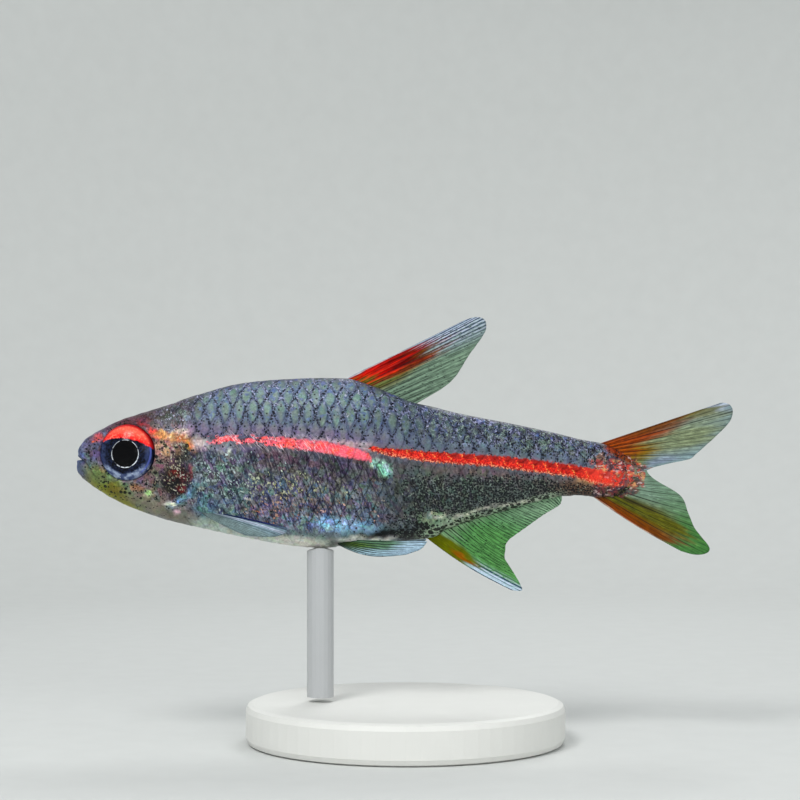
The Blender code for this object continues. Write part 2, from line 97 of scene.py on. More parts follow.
# Lines of the head, as (s, h)
HEAD_EDGE = ((5.75, 5.2), (6.0, 3.4), (6.32, 1.6), (6.95, 0.8), (7.42, -0.1), (7.38, -0.95),
             (6.85, -1.68), (5.9, -2.33), (5.0, -2.75), (4.3, -4.4))
GILL_EDGE = HEAD_EDGE[2:9]
CHEEK_LINE = ((5.35, 1.5), (5.15, 0.3), (5.05, -0.8), (4.75, -1.65), (4.05, -2.25), (3.2, -2.45))
MOUTH_LINE = ((-0.6, 0.5), (0.2, 0.48), (0.5, 0.3), (0.78, -0.02), (1.02, -0.42), (1.3, -0.78))
GILL_FLARE = 0.13
NOSTRILS = ((1.12, 1.62), (1.6, 1.72))

# Eyes
EYE_S = 3.1
EYE_H = 0.88
EYE_RADIUS = 1.66
EYE_HALF_THICKNESS = 0.72
EYE_CENTRE_Y = 1.28
EYE_YAW = math.radians(9)
EYE_ROLL = math.radians(4)
EYE_RINGS = 64
EYE_SIDES = 120
PUPIL_X = 0.03
PUPIL_Z = -0.1
PUPIL_RADIUS = 0.81

# Lateral line, and the scales: pitch along the body, and rows across it as (s, pitch)
LATERAL_LINE = ((0.0, 1.62), (8.2, 1.62), (13.3, 1.42), (17.5, 1.12), (21.6, 0.65), (26.4, 0.23),
                (31.2, -0.49), (33.3, -0.68))
SCALE_PITCH = 0.815
SCALE_START = 6.08
ROW_PITCH = ((0.0, 0.97), (17.0, 0.97), (22.0, 0.84), (26.0, 0.74), (30.0, 0.64), (33.3, 0.6))
SCALE_CELLS = 8
SCALE_ROWS = range(-8, 9)
SCALE_COLUMNS = range(-2, 34)
SCALE_REACH = 0.97
LEAST_REACH = 0.2
SCALE_GAP = 0.02
EDGE_CLEARANCE = 0.35
FIRST_SCALE_TIP = 5.0
SCALE_ROOT = -0.62
SCALE_LIFT = 0.062
SCALE_BASE = 0.008
SCALE_THICKNESS = 0.012
SCALE_BULGE = 0.52

# Fins: lines of (s, h) or (along, across) from the first ray to the last, in millimetres
DORSAL_ROOT = (16.0, 17.3, 18.8, 20.25)
DORSAL_MARGIN = ((23.1, 8.74), (23.44, 8.86), (23.83, 8.93), (24.16, 8.87), (24.36, 8.67), (24.41, 8.38),
                 (24.33, 8.05), (24.1, 7.66), (23.77, 7.2), (23.38, 6.67), (22.98, 6.02), (22.65, 5.49),
                 (22.2, 5.0), (21.67, 4.6))
ANAL_ROOT = (20.9, 23.0, 25.0, 27.0, 28.8)
ANAL_MARGIN = ((25.9, -7.36), (26.41, -7.41), (26.54, -7.29), (26.35, -6.86), (25.99, -6.25),
               (25.68, -5.77), (25.49, -5.43), (25.53, -5.03), (25.56, -4.67), (25.74, -4.37),
               (26.22, -4.0), (26.83, -3.57), (27.75, -2.91), (28.36, -2.54), (28.78, -2.27),
               (28.9, -2.0))
UPPER_ROOT = ((30.9, 1.3), (31.9, 1.1), (32.7, 0.6), (33.2, 0.0), (33.3, -0.35))
UPPER_MARGIN = ((38.1, 3.72), (38.44, 3.82), (38.88, 3.72), (39.1, 3.39), (39.04, 2.98), (38.79, 2.52),
                (37.92, 1.66), (36.93, 0.77), (36.65, 0.52), (36.26, 0.39), (35.46, 0.23), (34.47, -0.01),
                (34.0, -0.2))
LOWER_ROOT = ((30.9, -1.85), (31.9, -1.75), (32.7, -1.4), (33.2, -0.8), (33.3, -0.4))
LOWER_MARGIN = ((36.0, -5.03), (36.66, -5.22), (37.22, -5.24), (37.6, -5.13), (37.72, -4.9), (37.56, -4.57),
                (37.19, -4.13), (36.8, -3.6), (36.46, -2.8), (36.2, -2.05), (35.93, -1.67),
                (35.33, -1.27), (34.53, -0.81), (34.07, -0.41), (33.95, -0.2))
PECTORAL_ROOT = ((0.0, -0.08), (0.0, 0.0), (0.0, 0.08))
PECTORAL_MARGIN = ((5.0, 0.0), (5.05, 0.28), (4.6, 0.62), (3.8, 0.86), (2.7, 0.98))
PELVIC_ROOT = ((0.0, -0.1), (0.0, -0.02), (0.0, 0.06))
PELVIC_MARGIN = ((5.2, -0.08), (5.12, 0.1), (4.95, 0.36), (4.65, 0.6), (4.05, 0.84))
# Root point of each paired fin, its run and the way across it
PECTORAL_PLACE = ((7.7, 1.4, -2.68), (5.0, 0.55, -0.86), (0.0, 0.5, -0.86))
PELVIC_PLACE = ((15.7, 0.62, -4.42), (5.2, 0.75, -0.02), (0.0, 0.62, -0.78))
ROOT_SINK = 0.45
MEMBRANE_ROOT = 0.05
MEMBRANE_TIP = 0.02
RAY_RIDGE = 0.06
RAY_WIDTH = 0.055
RAY_COLUMNS = 10
# Rays part into two by this share of their spacing, between these shares of their length
RAY_FORK = 0.24
FORK_START = 0.35
FORK_END = 0.8
MARGIN_NOTCH = 0.008


def monotone(xs, ys):
    """Smooth function through points that keeps to their rise and fall."""
    xs = np.asarray(xs, float)
    ys = np.asarray(ys, float)
    steps = np.diff(xs)
    rises = np.diff(ys) / steps
    slopes = np.zeros(len(xs))
    slopes[0] = rises[0]
    slopes[-1] = rises[-1]
    for i in range(1, len(xs) - 1):
        if rises[i - 1] * rises[i] > 0:
            weight_a = 2 * steps[i] + steps[i - 1]
            weight_b = steps[i] + 2 * steps[i - 1]
            slopes[i] = (weight_a + weight_b) / (weight_a / rises[i - 1] + weight_b / rises[i])

    def value(x):
        x = np.clip(x, xs[0], xs[-1])
        i = np.clip(np.searchsorted(xs, x) - 1, 0, len(steps) - 1)
        width = steps[i]
        t = (x - xs[i]) / width
        return (
            (2 * t**3 - 3 * t**2 + 1) * ys[i]
            + (t**3 - 2 * t**2 + t) * width * slopes[i]
            + (3 * t**2 - 2 * t**3) * ys[i + 1]
            + (t**3 - t**2) * width * slopes[i + 1]
        )

    return value


def station_profile(column):
    """One column of the stations as a function of s, on the square root of s for a blunt snout."""
    value = monotone(np.sqrt(STATIONS[:, 0]), STATIONS[:, column])
    return lambda s: value(np.sqrt(np.clip(s, 0.0, BODY_END)))


back_height = station_profile(1)
belly_depth = station_profile(2)
half_width = station_profile(3)
widest_height = station_profile(4)
lateral_height = monotone(*zip(*LATERAL_LINE))
row_pitch = monotone(*zip(*ROW_PITCH))


def smooth(value, start, end):
    """0 at start and before it, 1 at end and past it, with a smooth change, up or down the values."""
    t = np.clip((value - start) / (end - start), 0.0, 1.0)
    return t * t * (3 - 2 * t)


def band(value, start, full, fade, end):
    """0 outside start and end, and 1 from full to fade."""
    return smooth(value, start, full) * smooth(value, end, fade)


def bell(distance, width):
    return np.exp(-((distance / width) ** 2))


def curve(points, t):
    """Points at shares t of a smooth curve through the given points."""
    points = np.asarray(points, float)
    place = np.clip(t, 0.0, 1.0) * (len(points) - 1)
    i = np.minimum(place.astype(int), len(points) - 2)
    f = (place - i)[..., None]
    padded = np.vstack((2 * points[0] - points[1], points, 2 * points[-1] - points[-2]))
    p0, p1, p2, p3 = padded[i], padded[i + 1], padded[i + 2], padded[i + 3]
    return (
        p1
        + (p2 - p0) * f / 2
        + (2 * p0 - 5 * p1 + 4 * p2 - p3) * f**2 / 2
        + (3 * p1 - 3 * p2 + p3 - p0) * f**3 / 2
    )


def even_curve(points, share):
    """Points at shares of the curve's own length."""
    line = curve(points, np.linspace(0, 1, 401))
    run = np.concatenate(([0.0], np.cumsum(np.linalg.norm(np.diff(line, axis=0), axis=1))))
    return np.stack([np.interp(share * run[-1], run, line[:, k]) for k in range(line.shape[1])], axis=-1)


def line_distance(line, s, h, pieces=28):
    """Distance to a curved line, its sign (+ to the left of the line's run) and the share along."""
    knots = curve(line, np.linspace(0, 1, pieces + 1))
    best = np.full(s.shape, 1e9)
    sign = np.ones(s.shape)
    share = np.zeros(s.shape)
    for i in range(pieces):
        (x0, z0), (x1, z1) = knots[i], knots[i + 1]
        dx, dz = x1 - x0, z1 - z0
        t = np.clip(((s - x0) * dx + (h - z0) * dz) / (dx * dx + dz * dz), 0, 1)
        gap = np.hypot(s - x0 - t * dx, h - z0 - t * dz)
        near = gap < best
        best = np.where(near, gap, best)
        side = np.where((h - z0) * dx - (s - x0) * dz >= 0, 1.0, -1.0)
        sign = np.where(near, side, sign)
        share = np.where(near, (i + t) / pieces, share)
    return best, sign, share


def between_four(table, i, j, u, v):
    """Value at shares u and v between four neighbours of a table, which repeats past its edges."""
    rows, columns = table.shape
    here, next_row, over, next_over = (
        table[(i + a) % rows, (j + b) % columns] for a, b in ((0, 0), (1, 0), (0, 1), (1, 1))
    )
    return (here * (1 - u) + next_row * u) * (1 - v) + (over * (1 - u) + next_over * u) * v


WOBBLE_BUMPS = 61


def wobble(x, y, seed):
    """Smooth random field from -1 to 1 with about one bump per unit."""
    table = np.random.default_rng(seed).uniform(-1, 1, (WOBBLE_BUMPS, WOBBLE_BUMPS))
    i = np.floor(x).astype(int)
    j = np.floor(y).astype(int)
    return between_four(table, i, j, smooth(x - i, 0, 1), smooth(y - j, 0, 1))


# The body's surface


def surface(s, angle):
    """Points of the smooth body: angle 0 is the back, pi the belly, and up to pi is the right."""
    up = np.cos(angle)
    out = np.sin(angle)
    middle = widest_height(s)
    upper = up > 0
    boxy = smooth(s, HEAD_POWER_END, BODY_POWER_START)
    power = np.where(upper, HEAD_BACK_POWER + (BODY_BACK_POWER - HEAD_BACK_POWER) * boxy, BELLY_POWER)
    reach = np.where(upper, back_height(s) - middle, middle + belly_depth(s))
    h = middle + np.sign(up) * np.abs(up) ** (2 / power) * reach
    y = np.sign(out) * np.abs(out) ** (2 / power) * half_width(s)
    return np.stack(np.broadcast_arrays(s, y, h), axis=-1)


def surface_normal(s, angle):
    step = 0.02
    along = surface(s + step, angle) - surface(np.maximum(s - step, 0), angle)
    around = surface(s, angle + step) - surface(s, angle - step)
    normal = np.cross(around, along)
    normal /= np.maximum(np.linalg.norm(normal, axis=-1, keepdims=True), 1e-12)
    outward = surface(s, angle) - np.stack(np.broadcast_arrays(s + 1.0, 0.0, widest_height(s)), axis=-1)
    flip = np.sum(normal * outward, axis=-1, keepdims=True) < 0
    return np.where(flip, -normal, normal)


class Flank:
    """Arc distances around the body from the lateral line, positive towards the back."""

    def __init__(self):
        self.places = np.linspace(0.0, BODY_END, FLANK_RINGS)
        self.angles = np.linspace(0.0, math.pi, 361)
        self.shares = np.linspace(-1.0, 1.0, 401)
        points = surface(self.places[:, None], self.angles[None, :])
        steps = np.linalg.norm(np.diff(points[..., 1:], axis=1), axis=-1)
        runs = np.cumsum(np.pad(steps, ((0, 0), (1, 0))), axis=1)
        heights = zip(lateral_height(self.places), points[..., 2], runs)
        self.top = np.array([np.interp(-line, -ring, run) for line, ring, run in heights])
        self.arcs = self.top[:, None] - runs
        self.bottom = -self.arcs[:, -1]
        wanted = self.shares * np.where(self.shares > 0, self.top[:, None], self.bottom[:, None])
        self.table = np.array([np.interp(-want, -arc, self.angles) for want, arc in zip(wanted, self.arcs)])

    def read(self, table, columns, s, x):
        last = FLANK_RINGS - 1
        i = np.clip(s / BODY_END * last, 0, last - 0.001)
        j = np.clip((x - columns[0]) / (columns[-1] - columns[0]), 0, 1) * (len(columns) - 1)
        j = np.minimum(j, len(columns) - 1.001)
        a = i.astype(int)
        b = j.astype(int)
        return between_four(table, a, b, i - a, j - b)

    def limits(self, s):
        return np.interp(s, self.places, self.top), np.interp(s, self.places, self.bottom)

    def arc(self, s, angle):
        return self.read(self.arcs, self.angles, s, angle)

    def angle(self, s, arc):
        top, bottom = self.limits(s)
        return self.read(self.table, self.shares, s, arc / np.maximum(np.where(arc > 0, top, bottom), 1e-6))


flank = Flank()


def head_relief(s, h):
    """How far the head's forms stand out of the smooth body."""
    gap, sign, share = line_distance(GILL_EDGE, s, h)
    behind = gap * sign
    ends = band(share, 0.0, 0.12, 0.9, 1.0)
    relief = GILL_FLARE * smooth(s, 4.0, 7.2) * smooth(h, 1.9, 1.2) * smooth(behind, 0.05, -0.03)
    relief -= 0.07 * bell(behind - 0.09, 0.07) * ends * smooth(gap, 0.0, 0.02)
    relief += 0.02 * bell(behind + 0.12, 0.08) * ends

    gap, sign, share = line_distance(CHEEK_LINE, s, h)
    ends = band(share, 0.0, 0.1, 0.85, 1.0)
    relief -= 0.055 * bell(gap, 0.06) * ends
    relief += 0.03 * bell(gap * sign + 0.14, 0.1) * ends

    gap, _, share = line_distance(MOUTH_LINE, s, h)
    ends = smooth(share, 1.0, 0.9)
    relief -= 0.2 * (1 - 0.6 * smooth(share, 0.35, 1.0)) * bell(gap, 0.07) * ends
    relief += 0.06 * (1 - 0.7 * smooth(share, 0.5, 1.0)) * bell(gap - 0.17, 0.09) * ends

    # Eye socket with a raised rim and a fold round it
    eye = np.hypot(s - EYE_S - 0.07, h - EYE_H)
    relief -= 0.85 * smooth(eye, 1.72, 1.54)
    relief += 0.05 * bell(eye - 1.84, 0.12)
    relief -= 0.02 * bell(eye - 2.15, 0.12) * smooth(s, 2.4, 3.4)

    for place, height in NOSTRILS:
        hole = np.hypot(s - place, h - height)
        relief += 0.035 * bell(hole - 0.2, 0.06) - 0.16 * bell(hole, 0.1)
    skull = 0.012 * wobble(s * 3.1, h * 3.1, 5) + 0.008 * wobble(s * 7.3, h * 7.3, 6)
    return relief + skull * smooth(s, 7.0, 6.0)


def snout_push(s, h):
    """How far the upper lip and snout bulge forwards."""
    lip = 0.2 * bell(h - 1.0, 0.34) * smooth(s, 1.0, 0.3)
    return lip + 0.06 * bell(h + 0.05, 0.25) * band(s, 0.0, 0.12, 0.2, 0.7)


# Colours. Each is a screen colour from 0 to 255.

SLATE_BLUE = (130, 145, 155)
SLATE_DARK = (82, 89, 107)
BACK_VIOLET = (86, 90, 108)
RIDGE_DARK = (62, 66, 76)
MAUVE = (148, 128, 146)
MAUVE_DARK = (118, 124, 132)
VIOLET_GREY = (90, 88, 100)
DEEP_VIOLET = (66, 63, 74)
OLIVE_DARK = (79, 88, 84)
LOW_FLANK = (106, 114, 132)
SKY_SILVER = (116, 160, 188)
CREAM = (214, 216, 204)
BELLY_GREEN = (112, 134, 134)
THROAT = (126, 124, 104)
JAW_GREEN = (108, 118, 72)
YELLOW_OLIVE = (134, 136, 22)
LIP_BLUE = (80, 92, 134)
SNOUT_VIOLET = (88, 84, 108)
SKULL_GREY = (72, 58, 66)
CHEEK_MAUVE = (122, 98, 100)
EMBER_DARK = (92, 24, 24)
CRIMSON = (120, 30, 48)
EMBER = (196, 44, 34)
GOLD = (198, 138, 84)
ORANGE = (226, 108, 50)
PALE_CREAM = (240, 226, 186)
PINK_WHITE = (222, 204, 202)
MINT = (168, 226, 206)
WARM_BROWN = (104, 76, 56)
FLESH_PINK = (214, 142, 122)
FIN_GREEN = (98, 146, 100)
FIN_GREY_GREEN = (108, 132, 112)
FIN_BLUE = (122, 144, 148)
FIN_WHITE = (160, 184, 200)
FIN_INK = (14, 18, 22)
PECTORAL_GREY = (88, 108, 114)
PELVIC_GREEN = (92, 122, 112)


def linear(colour):
    """Linear light of a screen colour."""
    share = np.asarray(colour, float) / 255
    return np.where(share <= 0.04045, share / 12.92, ((share + 0.055) / 1.055) ** 2.4)


def blend_in(colours, mask, tint):
    """Turns rows of linear colours towards a tint by a mask."""
    colours += (linear(tint) - colours) * mask.reshape(-1, 1)


def spot(s, h, patch):
    """Mask of a soft ellipse: centre, radii, tilt in degrees and softness of its edge."""
    s0, h0, rs, rh, tilt, soft = patch
    turn = math.radians(tilt)
    x = (s - s0) * math.cos(turn) + (h - h0) * math.sin(turn)
    z = (h - h0) * math.cos(turn) - (s - s0) * math.sin(turn)
    return smooth(np.hypot(x / rs, z / rh), 1 + soft, 1 - soft)


def clear_of(s, h, *patches):
    """1 away from soft ellipses and less inside them, by the strength at each one's end."""
    share = 1.0
    for *patch, strength in patches:
        share = share * (1 - strength * spot(s, h, patch))
    return share


# Patches of the skin: centre s and h, radii, tilt, softness, colour, strength
FLESH_PATCHES = (
    (3.9, 3.2, 3.2, 0.9, 14, 0.4, SKULL_GREY, 0.9),  # top of the head
    (0.8, 1.2, 1.3, 1.0, 40, 0.4, SNOUT_VIOLET, 1.0),  # snout
    (0.3, 1.0, 0.3, 0.8, 0, 0.5, LIP_BLUE, 1.0),  # upper lip
    (0.25, -0.1, 0.4, 0.55, 30, 0.4, LIP_BLUE, 0.9),  # lower lip
    (1.35, 0.3, 0.5, 0.9, 20, 0.4, SNOUT_VIOLET, 0.8),  # before the eye
    (1.2, 1.75, 0.3, 0.2, 30, 0.7, (170, 96, 120), 0.5),
    (5.9, 3.1, 1.7, 0.8, 20, 0.5, (76, 68, 70), 0.9),  # nape
    (3.4, 2.75, 1.3, 0.3, 12, 0.5, (90, 46, 54), 0.8),
    (5.0, 0.0, 1.5, 2.2, 0, 0.4, CHEEK_MAUVE, 0.85),  # cheek
    (8.1, -3.35, 1.2, 0.5, -12, 0.5, (192, 208, 210), 1.0),  # pale skin below the pectoral fin, lightened further as painted light against the shade under the fin
    (5.9, -0.9, 1.0, 1.0, 0, 0.5, (34, 26, 36), 0.6),  # shade of the gill cover
    (6.25, 0.75, 0.55, 0.6, 0, 0.5, (52, 46, 54), 0.6),
    (30.2, -0.8, 0.5, 0.22, -5, 0.5, (222, 176, 124), 1.0),  # cream dab below the stripe's end
    (14.8, 1.62, 2.4, 0.15, -6, 0.6, (186, 162, 176), 0.75),  # pale line above the stripe
    (16.8, 1.3, 1.0, 0.14, -12, 0.6, (200, 172, 180), 0.8),
    (4.9, -0.5, 0.35, 0.9, 10, 0.6, (74, 64, 66), 0.6),  # shades of the cheek
    (5.3, -1.1, 0.5, 0.7, 10, 0.6, (84, 94, 88), 0.6),
    (1.9, -1.1, 1.6, 0.9, -35, 0.4, JAW_GREEN, 1.0),  # jaw
    (2.6, -2.1, 2.0, 0.5, -32, 0.5, YELLOW_OLIVE, 1.0),  # chin
    (3.2, -1.6, 1.2, 0.5, -25, 0.5, JAW_GREEN, 0.6),
    (2.5, -1.45, 0.8, 0.42, -30, 0.5, (116, 112, 26), 0.85),
    (3.8, -1.2, 0.45, 0.16, -8, 0.6, (150, 98, 48), 0.7),
    (4.6, -2.2, 1.6, 0.6, -25, 0.5, THROAT, 0.9),  # throat
    (6.4, -3.0, 1.8, 0.6, -16, 0.5, THROAT, 0.8),
    (5.6, -1.9, 0.9, 0.5, -30, 0.6, CHEEK_MAUVE, 0.5),
    (6.3, 0.95, 0.66, 0.55, 0, 0.4, (48, 44, 40), 1.0),  # dark gill chamber
    (6.2, -0.75, 1.0, 1.05, 15, 0.35, (22, 20, 22), 1.0),
    (5.95, -0.2, 0.26, 0.16, 20, 0.6, EMBER_DARK, 0.9),
    (6.5, -0.5, 0.3, 0.34, 0, 0.6, EMBER_DARK, 0.8),
    (6.4, -1.2, 0.32, 0.2, 30, 0.6, EMBER_DARK, 0.8),
    (5.8, -0.75, 0.2, 0.14, 0, 0.6, EMBER_DARK, 0.8),
    (6.98, -0.28, 0.12, 0.6, 5, 0.4, CRIMSON, 1.0),
    (7.0, -1.25, 0.75, 0.2, 52, 0.5, SKY_SILVER, 0.7),  # silver rim of the gill cover
    (6.2, -2.0, 0.7, 0.2, 30, 0.5, SKY_SILVER, 0.75),
    (5.75, -2.15, 0.4, 0.14, 0, 0.6, CREAM, 0.9),
    (6.14, -2.62, 0.2, 0.16, 0, 0.5, (238, 190, 210), 1.0),
    (4.36, -1.55, 0.28, 0.25, 0, 0.6, (176, 208, 160), 0.9),
    (7.5, -2.8, 0.42, 0.06, -20, 0.5, (20, 20, 24), 0.9),  # dark marks before the pectoral fin
    (6.9, -2.5, 0.17, 0.08, 0, 0.5, (26, 24, 26), 0.8),
    (4.15, 2.58, 0.45, 0.16, -20, 0.5, (128, 26, 30), 0.9),  # red dabs over the eye
    (4.75, 2.0, 0.5, 0.24, -38, 0.5, (226, 48, 34), 0.95),
    (5.45, 1.1, 0.85, 0.45, 0, 0.5, (142, 104, 100), 0.9),
    (5.35, 1.15, 0.5, 0.4, 0, 0.5, (176, 134, 124), 0.9),
    (6.68, 2.98, 0.17, 0.27, 0, 0.4, (150, 160, 168), 0.8),
    (5.85, 1.84, 1.15, 0.26, -4, 0.4, GOLD, 1.0),  # gold patch behind the eye
    (5.6, 1.96, 0.2, 0.08, -30, 0.5, PALE_CREAM, 0.8),
    (6.1, 1.8, 0.24, 0.06, 20, 0.5, (150, 88, 50), 0.8),
    (6.75, 1.9, 0.2, 0.1, -40, 0.5, PALE_CREAM, 0.8),
    (6.95, 1.4, 0.24, 0.42, 25, 0.5, (206, 132, 54), 0.9),
    (6.5, 1.62, 0.4, 0.12, -20, 0.5, ORANGE, 0.6),
    (6.5, 2.08, 0.3, 0.18, 0, 0.5, PALE_CREAM, 1.0),
    (7.3, 0.95, 0.2, 0.2, 0, 0.6, (150, 104, 44), 0.8),
    (5.9, 1.62, 0.5, 0.09, -6, 0.6, (150, 92, 56), 0.7),
    (5.5, 2.02, 0.4, 0.08, -10, 0.5, (244, 196, 120), 0.8),
    (7.65, 1.4, 0.55, 0.42, 0, 0.5, PINK_WHITE, 0.9),  # pale shoulder
    (1.08, 1.52, 0.1, 0.09, 0, 0.5, ORANGE, 1.0),  # orange spot by the nostrils
    (1.45, 1.75, 0.3, 0.28, 30, 0.6, (220, 70, 80), 0.7),
    (8.9, -0.5, 1.7, 2.0, 0, 0.6, (104, 122, 130), 0.6),  # teal shade behind the head
    (8.6, -2.5, 1.4, 0.5, -10, 0.6, BELLY_GREEN, 0.7),
    (7.95, -2.2, 0.8, 0.8, 0, 0.6, (92, 128, 144), 0.8),
    (9.22, 0.86, 0.09, 0.38, -15, 0.4, (216, 230, 216), 0.9),
    (8.7, 1.0, 0.5, 0.2, 0, 0.7, (136, 124, 156), 0.7),
    (10.2, 1.0, 0.8, 0.2, 0, 0.7, (116, 104, 136), 0.6),
    (9.6, -3.9, 2.6, 0.7, -8, 0.5, (142, 158, 150), 0.9),
    (15.9, -3.35, 1.9, 0.4, -7, 0.5, (146, 196, 228), 1.0),  # silver-blue band over the belly
    (13.0, -3.1, 1.6, 0.4, -8, 0.6, (128, 152, 168), 0.6),
    (13.4, -4.5, 2.4, 0.42, -4, 0.5, CREAM, 1.0),  # cream edge of the belly
    (17.3, -4.22, 1.9, 0.25, 4, 0.3, (232, 234, 226), 1.0),
    (18.9, -3.88, 1.9, 0.26, 3, 0.4, (24, 30, 30), 1.0),  # dark vent
    (19.5, -1.7, 1.2, 1.2, -20, 0.6, (48, 56, 58), 0.6),
    (20.5, -4.0, 1.2, 0.24, 8, 0.5, (22, 28, 28), 0.9),
    (15.5, -4.5, 0.6, 0.25, 0, 0.5, (60, 66, 62), 0.8),
    (17.75, 0.32, 0.32, 0.26, 0, 0.35, MINT, 1.0),  # mint spots under the stripe
    (18.4, 0.0, 0.33, 0.4, 30, 0.35, MINT, 1.0),
    (12.4, 0.5, 1.6, 0.4, -8, 0.7, (92, 62, 72), 0.6),  # maroon shade
    (16.2, 0.0, 1.8, 0.9, -20, 0.6, DEEP_VIOLET, 0.6),
    (21.4, -3.1, 0.95, 0.42, -4, 0.4, (126, 154, 124), 1.0),  # pale patch over the anal fin
    (23.6, -0.3, 3.2, 0.24, -6, 0.7, (112, 92, 90), 0.6),  # olive band under the stripe
    (30.5, -1.2, 1.8, 0.5, 0, 0.6, WARM_BROWN, 0.7),  # tail base
    (30.35, -0.74, 0.55, 0.16, -12, 0.5, GOLD, 0.9),
    (29.9, -0.1, 1.2, 0.16, -10, 0.5, (150, 110, 80), 0.5),
    (31.2, 0.5, 0.45, 0.16, -10, 0.5, GOLD, 0.9),
    (31.75, 0.2, 0.3, 0.22, -20, 0.5, EMBER, 0.9),
    (30.6, 0.3, 0.14, 0.12, 0, 0.5, (224, 92, 50), 0.9),
    (32.3, 0.2, 0.5, 0.14, -30, 0.5, (70, 50, 66), 0.8),
    (32.6, -0.05, 0.45, 0.2, -20, 0.5, (216, 92, 64), 0.9),
    (32.9, 0.28, 0.4, 0.16, -20, 0.5, FLESH_PINK, 0.9),
    (32.5, 0.75, 0.6, 0.25, -30, 0.6, (70, 60, 76), 0.7),
    (32.2, -1.5, 0.9, 0.2, 20, 0.5, (40, 38, 42), 0.9),
    (32.9, -1.1, 0.3, 0.12, 10, 0.5, (176, 88, 40), 0.8),
    (33.05, -0.66, 0.22, 0.22, 0, 0.3, (56, 32, 24), 1.0),  # brown spot
    (33.05, -0.66, 0.09, 0.09, 0, 0.3, (190, 80, 40), 1.0),
)

# Stripe: the front part is pink and smooth, the rear part red and grainy, as (s, middle, half)
FRONT_STRIPE = ((7.9, 1.66, 0.22), (8.6, 1.65, 0.27), (10.6, 1.68, 0.26), (11.9, 1.54, 0.31),
                (13.3, 1.39, 0.32), (14.9, 1.21, 0.35), (15.9, 1.0, 0.36), (17.05, 0.74, 0.32),
                (17.6, 0.55, 0.2))
REAR_STRIPE = ((17.4, 1.14, 0.14), (18.2, 1.0, 0.21), (19.2, 0.84, 0.27), (21.4, 0.6, 0.32),
               (24.5, 0.39, 0.35), (27.6, 0.02, 0.38), (29.4, -0.2, 0.38), (31.2, -0.6, 0.44),
               (32.2, -0.68, 0.48), (33.2, -0.75, 0.4))
# Pale line over the anal fin's base
ANAL_LINE = ((20.6, -2.5), (21.3, -2.85), (22.3, -2.9), (23.04, -2.76), (23.7, -2.56), (24.3, -2.4),
             (25.15, -2.27), (26.1, -2.12), (26.9, -2.0), (27.8, -1.85), (29.0, -1.72))


def stripe_depth(s, h, knots):
    """How deep a point lies inside a stripe, negative outside."""
    places, middles, halves = zip(*knots)
    inside = monotone(places, halves)(s) - np.abs(h - monotone(places, middles)(s))
    return np.clip(np.minimum(np.minimum(inside, s - places[0]), places[-1] - s), -1, 1)


def flesh_regions(points, arc, side):
    """Places on the flesh and the masks that its colours and patterns share."""
    s, h = points[:, 0], points[:, 2]
    seed = np.where(side > 0, 40.0, 0.0)

    def warp(first):
        return 0.14 * wobble(s * 2.3 + seed, h * 2.3, first) + 0.05 * wobble(s * 8 + seed, h * 8, first + 1)

    flesh = SimpleNamespace(s=s, h=h, arc=arc, warp_s=warp(11), warp_h=warp(13))
    flesh.column = (s - SCALE_START) / SCALE_PITCH + seed
    flesh.rise = h + belly_depth(s)
    flesh.rear = smooth(s, 16.0, 21.0)
    flesh.body = smooth(s, 6.2, 7.4)
    flesh.keel = smooth(flesh.rise, 0.9, 0.3)
    flesh.gap, _, flesh.share = line_distance(ANAL_LINE, s + flesh.warp_s, h + 0.6 * flesh.warp_h)
    flesh.over_fin = band(s, 19.8, 21.2, 28.0, 29.5) * smooth(flesh.rise, 0.8, 0.5)
    flesh.over_fin *= 1 - smooth(s, 22.5, 24.5) * smooth(flesh.rise, 0.25, 0.45)
    flesh.over_rays = smooth(h + 0.5 * (s - 31.3 + flesh.warp_h), 0.85, 1.05) * smooth(s, 31.2, 31.6)
    flesh.under_rays = smooth(flesh.rise - 0.5 * flesh.warp_h, 0.5, 0.2) * smooth(s, 31.7, 32.6)
    return flesh


